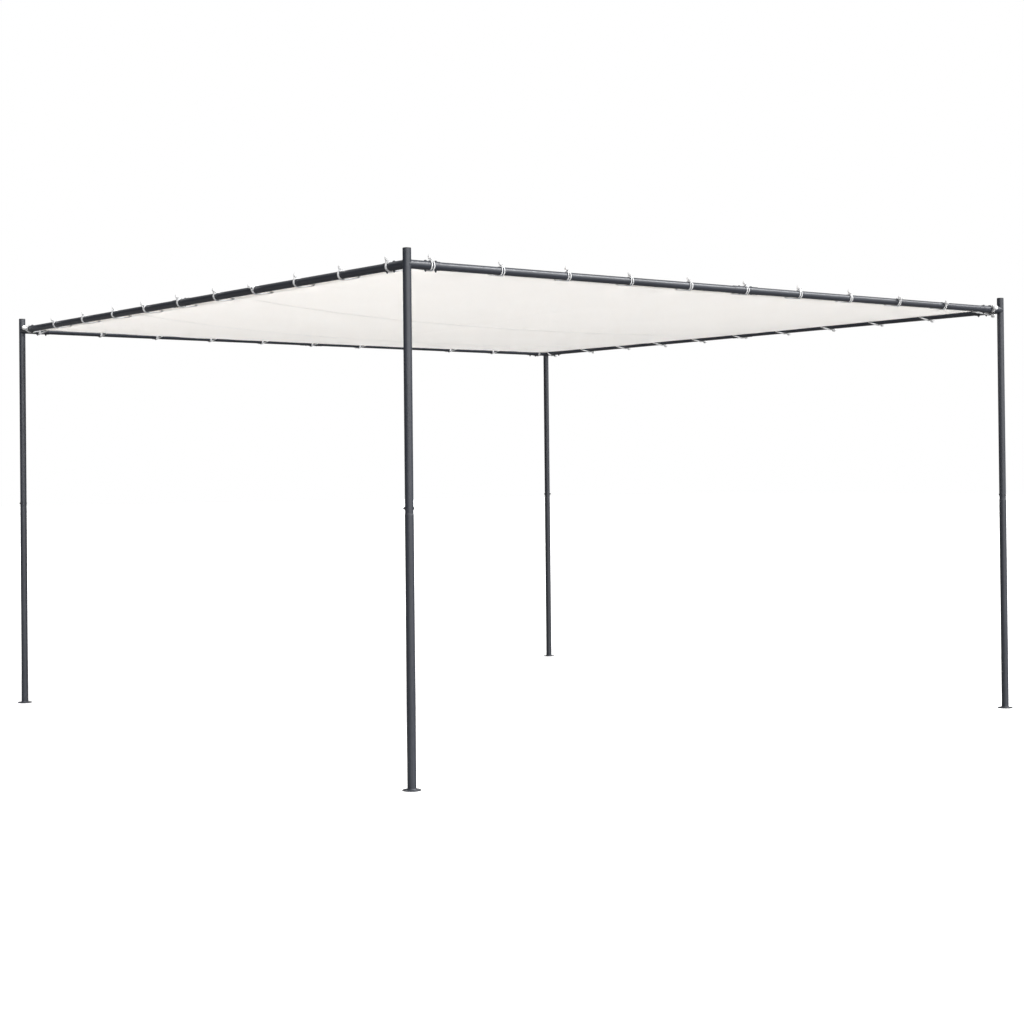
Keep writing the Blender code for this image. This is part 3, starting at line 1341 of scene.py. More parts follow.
@dataclass
class RailSide:
    """One side of the ring: two sleeves on the posts, two rail sections and a coupler."""

    side: Side
    rail_start: float = 0.075
    rail_gap: float = 0.0005
    cope_height: float = 0.040
    cope_gap: float = 0.0001
    cope_sides: int = 96
    mitre_gap: float = 0.0002
    weld_radius: float = 0.0021
    weld_shape: Triple = (0.75, 1.25, 1.0)
    weld_step: float = 0.0017
    weld_reach: float = 0.0172
    weld_points: int = 25

    def laid(self, mesh: Mesh, start: float) -> Mesh:
        """Lay an upright tube along the side.

        Args:
            mesh: the tube's mesh, standing on its own axis.
            start: where its foot goes along the side.

        Returns:
            The same mesh, in place.
        """
        along = Matrix.Rotation(math.pi / 2, 4, "Y")
        spot = Matrix.Translation((start, -SIZES.half, SIZES.rail_height))
        mesh.transform(self.side.turn @ spot @ along)
        return mesh

    def cope_tools(self) -> list[Mesh]:
        """The post and the neighbouring sleeve's half of the corner, as tools for a sleeve.

        Returns:
            A cylinder and a block in the sleeve's upright frame, with the post across its foot.
        """
        size, radius = 2 * self.cope_height, SIZES.upper_post + self.cope_gap
        across = Matrix.Rotation(math.pi / 2, 4, "Y")
        post = rods_mesh("cope_post", radius, size, self.cope_sides, [across])
        shape = bmesh.new()
        turn = Matrix.Rotation(math.pi / 4, 4, "X")
        depth = Matrix.Translation((0.0, 0.0, -self.cope_height - self.mitre_gap))
        bmesh.ops.create_cube(shape, size=size, matrix=turn @ depth)
        return [post, mesh_from("cope_block", shape)]

    def sleeve_mesh(self, mirrored: bool) -> Mesh:
        """A sleeve in its upright frame, coped to its post and mitred to its neighbour.

        Args:
            mirrored: whether it is the sleeve at the side's far end.

        Returns:
            The mesh, with the post's axis through the origin.
        """
        outline = Tube(SIZES.sleeve, 0.0, SIZES.sleeve_reach).outline()
        tube = lathe("sleeve", outline, TUBE_SIDES, ring=True)
        mesh = cut_mesh(tube, self.cope_tools())
        rub_ends(mesh, (SIZES.sleeve_reach,))
        if mirrored:
            mesh.transform(Matrix.Scale(-1.0, 4, (0.0, 0.0, 1.0)))
            mesh.flip_normals()
        soften(mesh)
        return mesh

    def weld_paths(self, mirrored: bool) -> list[list[Vector]]:
        """The two seams along which a sleeve is welded to its post, above and below.

        Args:
            mirrored: whether they belong to the side's far end.

        Returns:
            Two lines of points in the gazebo's frame.
        """
        way = -1.0 if mirrored else 1.0
        paths = []
        for level in (1.0, -1.0):
            path = []
            for y in np.linspace(-self.weld_reach, self.weld_reach, self.weld_points):
                depth = math.sqrt(SIZES.upper_post**2 - y * y)
                rise = level * math.sqrt(SIZES.sleeve**2 - y * y)
                spot = (way * (depth - SIZES.half), y - SIZES.half, SIZES.rail_height + rise)
                path.append(self.side.turn @ Vector(spot))
            paths.append(path)
        return paths

    def weld_mesh(self, finish: Material) -> Mesh:
        """The ripples of the four weld seams of this side.

        Args:
            finish: their material.

        Returns:
            The mesh.
        """
        recipe = Recipe("weld_ripples")
        step = recipe.given("Ripple step", self.weld_step)
        radius = recipe.given("Ripple radius", self.weld_radius)
        ripple = recipe.moved(recipe.ball(radius, segments=8, rings=6), size=self.weld_shape)
        recipe.close(recipe.along_paths(ripple, step), finish)
        paths = self.weld_paths(False) + self.weld_paths(True)
        return recipe.make("weld", paths_mesh("weld_paths", paths))

    def build(self, finishes: Finishes) -> list[Object]:
        """Make the side's pieces, apart from its bolts.

        Args:
            finishes: the gazebo's finishes.

        Returns:
            The pieces.
        """
        label, half, reach = self.side.label, SIZES.half, SIZES.coupler_reach
        section = Tube(SIZES.rail, 0.0, half - self.rail_start - self.rail_gap)
        coupler = Tube(SIZES.sleeve, 0.0, 2 * reach)
        made = []
        for kind, mesh, start in (
            ("_sleeve_a", self.sleeve_mesh(False), -half),
            ("_sleeve_b", self.sleeve_mesh(True), half),
            ("_rail_a", section.mesh("section"), self.rail_start - half),
            ("_rail_b", section.mesh("section"), self.rail_gap),
            ("_rail_coupler", coupler.mesh("coupler"), -reach),
        ):
            node = label + kind
            placed = self.laid(mesh, start)
            made.append(add_piece(node + "_round", placed, finishes.coat, [node]))
        weld = self.weld_mesh(finishes.coat)
        made.append(add_piece(label + "_sleeve_welds", weld, finishes.coat))
        return made


@dataclass(frozen=True)
class ThroughBolt:
    """A round-headed bolt through a tube, with a nut on its far side."""

    name: str
    grip: float
    head_radius: float = 0.0068
    head_height: float = 0.0042
    nut_radius: float = 0.0062
    nut_height: float = 0.0050
    nut_sink: float = 0.0012
    thread_radius: float = 0.0030
    thread_reach: float = 0.0080

    def recipe(self, finish: Material) -> Recipe:
        """The tree that puts a whole bolt on each point, its head towards the point's axis.

        Args:
            finish: the bolts' material.

        Returns:
            The tree.
        """
        recipe = Recipe(self.name)
        grip, head_radius, head_height, nut_radius, nut_height, sink, thread, reach = (
            recipe.given(size.name.replace("_", " ").capitalize(), getattr(self, size.name))
            for size in fields(self)
            if size.type is float
        )
        half = recipe.sums("MULTIPLY", grip, 0.5)
        scale = recipe.vector(head_radius, head_radius, head_height)
        dome = recipe.ball(1.0, segments=20, rings=12)
        head = recipe.moved(dome, recipe.vector(z=half), scale)
        nut_middle = recipe.sums("SUBTRACT", recipe.sums("MULTIPLY", nut_height, 0.5), sink)
        below = recipe.sums("MULTIPLY", recipe.sums("ADD", half, nut_middle), -1.0)
        nut = recipe.moved(recipe.drum(nut_radius, nut_height, sides=6), recipe.vector(z=below))
        length = recipe.sums("ADD", grip, reach)
        middle = recipe.sums("MULTIPLY", reach, -0.5)
        shank = recipe.moved(recipe.drum(thread, length, sides=16), recipe.vector(z=middle))
        recipe.close(recipe.at_points(recipe.joined(head, nut, shank)), finish)
        return recipe

    def build(self, spots: Sequence[Vector], axes: Sequence[Vector], finish: Material) -> Object:
        """Put a bolt at each spot.

        Args:
            spots: the middles of the bolts' grips.
            axes: the direction of each bolt's head.
            finish: their material.

        Returns:
            One piece that holds all of them.
        """
        mesh = self.recipe(finish).make(self.name, points_mesh("bolt_spots", spots, axes))
        soften(mesh)
        return add_piece(self.name, mesh, finish)


SLEEVE_BOLT = ThroughBolt("sleeve_bolts", grip=2 * SIZES.sleeve)
JOINT_BOLT = ThroughBolt("post_joint_bolts", grip=2 * SIZES.upper_post)
COUPLER_SCREW = ThroughBolt(
    "coupler_screws",
    grip=2 * SIZES.sleeve,
    head_radius=0.0050,
    head_height=0.0030,
    nut_radius=0.0030,
    nut_height=0.0020,
    thread_radius=0.0020,
    thread_reach=0.0020,
)


@dataclass(frozen=True)
class Fasteners:
    """The bolts of the whole frame."""

    sleeve_spots: tuple[float, ...] = (-1.886, -1.834, 1.834, 1.886)
    coupler_spots: tuple[float, ...] = (-0.040, 0.040)
    joint_rise: float = 0.024
    joint_axes: Outline = ((0.707, -0.707), (0.0, -1.0), (-0.787, 0.617), (0.966, 0.259))

    def ring_bolts(self, along: Sequence[float]) -> tuple[list[Vector], list[Vector]]:
        """The bolts down through the ring, at the same places on each side.

        Args:
            along: their places along a side.

        Returns:
            Their middles and the directions of their heads.
        """
        spots = []
        for side in Side:
            for x in along:
                spots.append(side.turn @ Vector((x, -SIZES.half, SIZES.rail_height)))
        return spots, [Vector((0.0, 0.0, 1.0))] * len(spots)

    def joint_bolts(self) -> tuple[list[Vector], list[Vector]]:
        """The bolts that pin the upper posts onto the lower ones.

        Returns:
            Their middles and the directions of their heads.
        """
        height = SIZES.joint_height + self.joint_rise
        spots = [corner.place @ Vector((0.0, 0.0, height)) for corner in Corner]
        return spots, [Vector((x, y, 0.0)) for x, y in self.joint_axes]

    def build(self, finishes: Finishes) -> list[Object]:
        """Make every bolt of the frame.

        Args:
            finishes: the gazebo's finishes.

        Returns:
            A piece for each kind of bolt.
        """
        return [
            SLEEVE_BOLT.build(*self.ring_bolts(self.sleeve_spots), finishes.bolt),
            COUPLER_SCREW.build(*self.ring_bolts(self.coupler_spots), finishes.bolt),
            JOINT_BOLT.build(*self.joint_bolts(), finishes.bolt),
        ]


# ---------------------------------------------------------------- canopy


def membrane(x: np.ndarray, y: np.ndarray) -> np.ndarray:
    """How much of its sag a sheet that is held round its edge has at flat places."""
    shares = [1.0 - np.clip(np.abs(way / SIZES.canopy_half), 0.0, 1.0) ** 2 for way in (x, y)]
    return shares[0] * shares[1]


def eased(share: np.ndarray) -> np.ndarray:
    """A share held between 0 and 1, which comes softly to both ends."""
    held = np.clip(share, 0.0, 1.0)
    return held * held * (3 - 2 * held)


def halved(rows: np.ndarray) -> np.ndarray:
    """Add a row between each two, on the smooth curve through them.

    Args:
        rows: numbers or points that follow each other evenly.

    Returns:
        All of the rows in order.
    """
    padded = np.concatenate([2 * rows[:1] - rows[1:2], rows, 2 * rows[-1:] - rows[-2:-1]])
    full = np.empty((2 * len(rows) - 1, *rows.shape[1:]))
    full[0::2] = rows
    full[1::2] = (9 * (padded[1:-2] + padded[2:-1]) - padded[:-3] - padded[3:]) / 16
    return full


@dataclass(frozen=True)
class ClothGrid:
    """The canopy's surface: where each crossing of its flat grid has come to hang."""

    across: np.ndarray
    along: np.ndarray
    points: np.ndarray

    def flat(self) -> tuple[np.ndarray, np.ndarray]:
        """The flat x and y of each crossing."""
        x, y = np.meshgrid(self.across, self.along, indexing="ij")
        return x, y

    def insets(self) -> np.ndarray:
        """How far each crossing lies from the cloth's nearest edge."""
        x, y = self.flat()
        return SIZES.canopy_half - np.maximum(np.abs(x), np.abs(y))

    def at(self, x: np.ndarray, y: np.ndarray) -> np.ndarray:
        """Points of the surface.

        Args:
            x: flat coordinates across the cloth, from its centre.
            y: flat coordinates along it.

        Returns:
            One row of x, y and z for each pair.
        """
        i = np.clip(np.searchsorted(self.across, x, "right") - 1, 0, len(self.across) - 2)
        j = np.clip(np.searchsorted(self.along, y, "right") - 1, 0, len(self.along) - 2)
        s = ((x - self.across[i]) / (self.across[i + 1] - self.across[i]))[..., None]
        t = ((y - self.along[j]) / (self.along[j + 1] - self.along[j]))[..., None]
        near = self.points[i, j] * (1 - s) + self.points[i + 1, j] * s
        far = self.points[i, j + 1] * (1 - s) + self.points[i + 1, j + 1] * s
        return near * (1 - t) + far * t

    def upward(self, x: np.ndarray, y: np.ndarray, step: float = 0.004) -> np.ndarray:
        """The surface's upward directions, evened out near its edge.

        Args:
            x: flat coordinates across the cloth.
            y: flat coordinates along it.
            step: how far to each side the slope is taken.

        Returns:
            One direction for each pair.
        """
        limit = self.across[-1] - step
        x, y = np.clip(x, -limit, limit), np.clip(y, -limit, limit)
        across = self.at(x + step, y) - self.at(x - step, y)
        along = self.at(x, y + step) - self.at(x, y - step)
        up = np.cross(across, along)
        return up / np.linalg.norm(up, axis=-1)[..., None]

    def lifted(self, flat: np.ndarray, rise: float) -> np.ndarray:
        """Points at one height over the surface, or under it.

        Args:
            flat: rows of flat x and y.
            rise: their height over the middle of the sheet.

        Returns:
            One row of x, y and z for each.
        """
        x, y = flat.T
        return self.at(x, y) + self.upward(x, y) * rise

    def refined(self) -> "ClothGrid":
        """The same surface with a line added halfway between each two, on smooth curves."""
        points = halved(halved(self.points).transpose(1, 0, 2)).transpose(1, 0, 2)
        return ClothGrid(halved(self.across), halved(self.along), points)

    def with_lines(self, places: Iterable[float], clear: float = 0.004) -> "ClothGrid":
        """The same surface with more lines along it.

        Args:
            places: the flat y of each new line.
            clear: how near to a new line an old one goes.

        Returns:
            The new grid.
        """
        new = np.array(sorted(places))
        kept = [y for y in self.along if np.min(np.abs(new - y)) > clear]
        along = np.sort(np.concatenate([kept, new]))
        x, y = np.meshgrid(self.across, along, indexing="ij")
        return ClothGrid(self.across, along, self.at(x, y))


@dataclass(frozen=True)
class ClothTrial:
    """How the cloth is simulated, under the names that the cloth modifier gives them."""

    quality: int = 7
    mass: float = 0.25
    tension_stiffness: float = 60.0
    compression_stiffness: float = 10.0
    shear_stiffness: float = 18.0
    bending_stiffness: float = 0.08
    tension_damping: float = 25.0
    shear_damping: float = 25.0
    air_damping: float = 6.0


def grid_faces(numbers: np.ndarray) -> np.ndarray:
    """The cells of a grid as faces.

    Args:
        numbers: the number of the point at each crossing.

    Returns:
        One row of four point numbers for each cell.
    """
    corners = (numbers[:-1, :-1], numbers[1:, :-1], numbers[1:, 1:], numbers[:-1, 1:])
    return np.stack(corners, axis=2).reshape(-1, 4)


def rim_of(numbers: np.ndarray) -> np.ndarray:
    """The point numbers round the edge of a grid."""
    return np.concatenate([numbers[0], numbers[1:, -1], numbers[-1, -2::-1], numbers[-2:0:-1, 0]])


def lay_flat_map(mesh: Mesh, flat: np.ndarray) -> None:
    """Keep the flat place of each point as a UV map, in metres.

    Args:
        mesh: the mesh.
        flat: one row of x and y for each of its points.
    """
    layer = mesh.uv_layers.new(name=FLAT_MAP)
    corners = np.zeros(len(mesh.loops), np.int32)
    mesh.loops.foreach_get("vertex_index", corners)
    layer.data.foreach_set("uv", flat[corners].astype(np.float32).ravel())


def flat_line(reach: float, y: float, count: int, side: Side) -> np.ndarray:
    """A straight line on the flat cloth, along a side.

    Args:
        reach: how far it runs to each side of the side's middle.
        y: its flat place across the front side.
        count: how many points it has.
        side: the side that it is turned to.

    Returns:
        Rows of flat x and y.
    """
    x = np.linspace(-reach, reach, count)
    return np.stack([x, np.full_like(x, y)], axis=1) @ np.array(side.turn.to_2x2()).T


@dataclass
class Canopy:
    """The sheet inside the ring, with its hems, seams, stitches and eyelets.

    The hem's section is given in from the cloth's edge, and up from its middle as a share of
    half its thickness.
    """

    cells_per_tie: int = 9
    thickness: float = 0.0008
    trial: ClothTrial = field(default_factory=ClothTrial)
    frames: int = 36
    pucker: float = 0.0024
    pucker_reach: float = 0.16
    pucker_start: float = 0.07
    pucker_folds: int = 4
    pucker_turn: float = 1.7
    creases: tuple[float, ...] = (-1.44, -0.48, 0.48, 1.44)
    crease: float = 0.0011
    crease_width: float = 0.030
    seams: tuple[float, ...] = (-0.44, 0.64)
    seam_width: float = 0.012
    seam_edge: float = 0.0015
    seam_lap: float = 0.0005
    stitch_pitch: float = 0.007
    stitch_length: float = 0.0052
    stitch_radius: float = 0.00034
    stitch_sink: Band = (0.6, 1.1)
    sewn_points: int = 321
    hem_thickness: float = 0.0016
    hem_section: Outline = (
        (-0.0008, 0.4),
        (0.0005, 1.0),
        (0.01575, 1.15),
        (0.0315, 1.1),
        (0.0435, 1.0),
        (0.045, 0.45),
    )
    hem_points: int = 361
    hem_mitre: float = 0.0002
    hem_rows: tuple[float, ...] = (0.0045, 0.0405)
    hem_row_rise: float = 0.58
    hem_hold: float = 0.55
    hem_hold_reach: float = 0.12
    border: tuple[float, ...] = (0.0, 0.010, 0.020, 0.033, 0.045)
    edge_tips: tuple[float, ...] = (-0.0010, -0.0020, -0.0020, -0.0040)
    eyelet_hole: float = 0.0062
    eyelet_wire: float = 0.0019
    eyelet_shape: Triple = (1.0, 1.0, 0.5)
    surface: ClothGrid | None = None

    def flat_lines(self) -> np.ndarray:
        """The flat grid's lines, which pass through every tie and the hem's edges.

        Returns:
            Their places, the same across the cloth and along it.
        """
        ties = SIZES.tie_places()
        left = [inset - SIZES.canopy_half for inset in self.border]
        middle = np.linspace(ties[0], ties[-1], (len(ties) - 1) * self.cells_per_tie + 1)
        return np.concatenate([left, middle, [-x for x in reversed(left)]])

    def eyelet_places(self) -> list[tuple[float, float, Side]]:
        """Where the eyelets are in the flat cloth.

        Returns:
            The flat x and y of each, with the side that it belongs to.
        """
        edge = SIZES.canopy_half - SIZES.eyelet_inset
        places = []
        for side in Side:
            for x in SIZES.tie_places():
                spot = side.turn @ Vector((x, -edge, 0.0))
                places.append((spot.x, spot.y, side))
        return places

    def spread(self, drop: float) -> ClothGrid:
        """The cloth before it is simulated.

        Args:
            drop: how far its middle hangs below its edge.

        Returns:
            The cloth, flat or as a plain curve.
        """
        lines = self.flat_lines()
        x, y = np.meshgrid(lines, lines, indexing="ij")
        z = SIZES.hem_height - drop * membrane(x, y)
        return ClothGrid(lines, lines, np.stack([x, y, z], axis=2))

    def hung(self) -> ClothGrid:
        """Hang the flat cloth from its eyelets by simulation.

        Returns:
            Where the simulated cloth has come to rest.
        """
        start = self.spread(drop=0.0)
        lines, count = start.across, len(start.across)
        faces = grid_faces(np.arange(count**2).reshape(count, count)).tolist()
        cloth = new_object(
            "cloth_trial", mesh_of("cloth_cut", start.points.reshape(-1, 3), faces=faces)
        )
        held = cloth.vertex_groups.new(name="held")
        for x, y, _ in self.eyelet_places():
            i = int(np.argmin(np.abs(lines - x)))
            j = int(np.argmin(np.abs(lines - y)))
            held.add([i * count + j], 1.0, "REPLACE")
        step = cloth.modifiers.new("hang", "CLOTH")
        step.settings.vertex_group_mass = held.name
        for name, value in asdict(self.trial).items():
            setattr(step.settings, name, value)
        step.point_cache.frame_start = 1
        step.point_cache.frame_end = self.frames
        scene = bpy.context.scene
        for number in range(1, self.frames + 1):
            scene.frame_set(number)
        points = coordinates(evaluated_mesh(cloth)).reshape(count, count, 3)
        bpy.data.objects.remove(cloth, do_unlink=True)
        scene.frame_set(1)
        return replace(start, points=points)

    def settled(self, grid: ClothGrid) -> ClothGrid:
        """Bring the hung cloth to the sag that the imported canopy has.

        Args:
            grid: the cloth as it was hung.

        Returns:
            The same cloth with its drop scaled.
        """
        drop = SIZES.hem_height - grid.points[:, :, 2]
        middle = len(grid.across) // 2
        deepest = float(drop[middle, middle])
        LOG.info("the cloth drops %.1f mm at its middle before it is scaled", 1000 * deepest)
        drop *= 1 - self.hem_hold * (1 - eased(grid.insets() / self.hem_hold_reach))
        drop *= SIZES.canopy_sag / deepest
        points = grid.points.copy()
        points[:, :, 2] = SIZES.hem_height + SIZES.edge_rise(*grid.flat()) - drop
        return replace(grid, points=points)

    def edged(self, grid: ClothGrid) -> ClothGrid:
        """Lay the doubled edge out past the eyelets, flat or tipped down towards its rail.

        Args:
            grid: the cloth with its edge hanging loose.

        Returns:
            The cloth with its edge held out by the ties.
        """
        points = grid.points.copy()
        held = self.border.index(SIZES.eyelet_inset)
        for side, tip in zip(Side, self.edge_tips):
            axis, low = 1 - side.value % 2, side in (Side.FRONT, Side.LEFT)
            rows = np.moveaxis(points, axis, 0)[:: 1 if low else -1]
            for step in range(held):
                reach = SIZES.eyelet_inset - self.border[step]
                rows[step] = rows[held]
                rows[step, :, axis] += -reach if low else reach
                rows[step, :, 2] -= tip * reach / SIZES.eyelet_inset
        return replace(grid, points=points)

    def creased(self, grid: ClothGrid) -> ClothGrid:
        """Add the small puckers that the ties pull and the faint folds of packing.

        Args:
            grid: the hung cloth.

        Returns:
            The cloth with its fine shape.
        """
        x, y = grid.flat()
        lift = np.zeros_like(x)
        free = eased((grid.insets() - SIZES.hem_width) / self.pucker_start)
        for number, (cx, cy, side) in enumerate(self.eyelet_places()):
            inward = side.turn @ Vector((0.0, 1.0, 0.0))
            dx, dy = x - cx, y - cy
            angle = np.arctan2(dx * inward.y - dy * inward.x, dx * inward.x + dy * inward.y)
            fade = free * np.exp(-np.hypot(dx, dy) / self.pucker_reach)
            phase = self.pucker_folds * angle + self.pucker_turn * number
            lift += self.pucker * fade * np.cos(phase)
        for place in self.creases:
            for across in (x, y):
                ridge = np.exp(-(((across - place) / self.crease_width) ** 2))
                lift += self.crease * membrane(x, y) * ridge
        points = grid.points.copy()
        points[:, :, 2] += lift
        return replace(grid, points=points)

    def seam_lines(self) -> list[float]:
        """Where the laps of the seams begin and end."""
        half, edge = self.seam_width / 2, self.seam_edge
        offsets = (-half, edge - half, half - edge, half)
        return [place + offset for place in self.seams for offset in offsets]

    def sheet_mesh(self) -> Mesh:
        """The sheet as a thin mesh with lapped seams, its flat place kept as a UV map.

        Returns:
            A closed mesh.
        """
        surface = self.surface
        x, y = surface.flat()
        up = surface.upward(x, y)
        near = np.min([np.abs(y - place) for place in self.seams], axis=0)
        lap = self.seam_lap * (near < (self.seam_width - self.seam_edge) / 2)
        half = self.thickness / 2
        above = surface.points + up * (half + 0.5 * lap)[..., None]
        below = surface.points - up * (half + lap)[..., None]
        top = np.arange(x.size).reshape(x.shape)
        rim, under = rim_of(top), rim_of(top) + x.size
        sides = np.stack([rim, np.roll(rim, -1), np.roll(under, -1), under], axis=1)
        faces = np.concatenate([grid_faces(top), grid_faces(top + x.size)[:, ::-1], sides])
        points = np.concatenate([above.reshape(-1, 3), below.reshape(-1, 3)])
        mesh = mesh_of("canopy_sheet", points, faces=faces.tolist())
        lay_flat_map(mesh, np.stack([np.tile(x.ravel(), 2), np.tile(y.ravel(), 2)], axis=1))
        mesh.shade_smooth()
        return mesh

    def hem_mesh(self, side: Side) -> Mesh:
        """One side's hem: the edge turned over and sewn down, mitred at its ends.

        Args:
            side: which side.

        Returns:
            A closed mesh.
        """
        upper = [(inset, share * self.hem_thickness / 2) for inset, share in self.hem_section]
        lower = [(inset, -rise) for inset, rise in reversed(upper)]
        flats, rows = [], []
        for inset, rise in upper + lower:
            reach = SIZES.canopy_half - max(inset, 0.0) - self.hem_mitre
            flats.append(flat_line(reach, inset - SIZES.canopy_half, self.hem_points, side))
            rows.append(self.surface.lifted(flats[-1], rise))
        numbers = np.arange(len(rows) * self.hem_points).reshape(len(rows), -1)
        faces = grid_faces(np.vstack([numbers, numbers[:1]]).T).tolist()
        faces += [numbers[:, 0].tolist(), numbers[:, -1].tolist()]
        mesh = mesh_of("hem", np.concatenate(rows), faces=faces)
        outward(mesh)
        lay_flat_map(mesh, np.concatenate(flats))
        soften(mesh, degrees=50.0)
        return mesh

    def stitches(self, lines: Sequence[Sequence], finish: Material) -> Mesh:
        """A short stitch at each step of sewn lines.

        Args:
            lines: the points of each line.
            finish: the thread's material.

        Returns:
            The mesh.
        """
        recipe = Recipe("stitches")
        pitch = recipe.given("Pitch", self.stitch_pitch)
        half = recipe.given("Half length", self.stitch_length / 2)
        radius = recipe.given("Thread radius", self.stitch_radius)
        bead = recipe.ball(1.0, segments=5, rings=4)
        stitch = recipe.moved(bead, size=recipe.vector(half, radius, radius))
        recipe.close(recipe.along_paths(stitch, pitch), finish)
        return recipe.make("stitches", paths_mesh("sewn_lines", lines))

    def sewn_line(self, reach: float, y: float, rise: float, side: Side) -> np.ndarray:
        """A line on the cloth that stitches follow.

        Args:
            reach: how far it runs to each side of the side's middle.
            y: its flat place across the front side.
            rise: its height over the middle of the sheet.
            side: the side that it is turned to.

        Returns:
            Its points in the gazebo's frame.
        """
        return self.surface.lifted(flat_line(reach, y, self.sewn_points, side), rise)

    def hem_stitches(self, side: Side, finish: Material) -> Mesh:
        """The rows of stitches on both faces of one side's hem.

        Args:
            side: which side.
            finish: the thread's material.

        Returns:
            The mesh.
        """
        rise = self.hem_thickness * self.hem_row_rise
        lines = []
        for inset in self.hem_rows:
            reach = SIZES.canopy_half - inset
            lines += [self.sewn_line(reach, -reach, height, side) for height in (rise, -rise)]
        return self.stitches(lines, finish)

    def seam_stitches(self, finish: Material) -> Mesh:
        """The rows of stitches on both faces of the seams.

        Args:
            finish: the thread's material.

        Returns:
            The mesh.
        """
        skin, quarter = self.thickness / 2, self.seam_width / 4
        reach = SIZES.canopy_half - SIZES.hem_width
        top, bottom = (skin + share * self.seam_lap for share in self.stitch_sink)
        lines = []
        for place in self.seams:
            for y in (place - quarter, place + quarter):
                lines += [self.sewn_line(reach, y, rise, Side.FRONT) for rise in (top, -bottom)]
        return self.stitches(lines, finish)

    def eyelet_mesh(self, finish: Material) -> Mesh:
        """Every eyelet: a rolled ring on both faces of the hem.

        Args:
            finish: their material.

        Returns:
            The mesh.
        """
        recipe = Recipe("eyelets")
        hole = recipe.given("Hole radius", self.eyelet_hole)
        wire = recipe.given("Roll radius", self.eyelet_wire)
        rise = recipe.given("Half hem", self.hem_thickness / 2)
        ring = recipe.circle(recipe.sums("ADD", hole, wire), sides=28)
        roll = recipe.swept(ring, recipe.circle(wire, sides=8))
        levels = (rise, recipe.sums("MULTIPLY", rise, -1.0))
        rings = [recipe.moved(roll, recipe.vector(z=z), self.eyelet_shape) for z in levels]
        recipe.close(recipe.at_points(recipe.joined(*rings)), finish)
        x, y = np.array([place[:2] for place in self.eyelet_places()]).T
        spots = points_mesh("eyelet_spots", self.surface.at(x, y), self.surface.upward(x, y))
        return recipe.make("eyelets", spots)

    def build(self, finishes: Finishes) -> list[Object]:
        """Hang, sew and dress the canopy.

        Args:
            finishes: the gazebo's finishes.

        Returns:
            The sheet first, then the pieces on it.
        """
        grid = self.hung()
        shaped = self.creased(self.edged(self.settled(grid)).refined())
        self.surface = shaped.with_lines(self.seam_lines())
        made = [
            add_piece("canopy_sheet", self.sheet_mesh(), finishes.cloth, ["canopy"])
        ]
        thread = finishes.thread
        for side in Side:
            label = side.label
            node = label + "_hem_with_ties"
            hem = self.hem_mesh(side)
            made.append(add_piece(label + "_hem", hem, finishes.hem, [node]))
            rows = self.hem_stitches(side, thread)
            made.append(add_piece(label + "_hem_stitches", rows, thread))
        for name, mesh, finish in (
            ("canopy_seam_stitches", self.seam_stitches(thread), thread),
            ("canopy_eyelets", self.eyelet_mesh(finishes.eyelet), finishes.eyelet),
        ):
            made.append(add_piece(name, mesh, finish))
        return made


# ---------------------------------------------------------------- ties


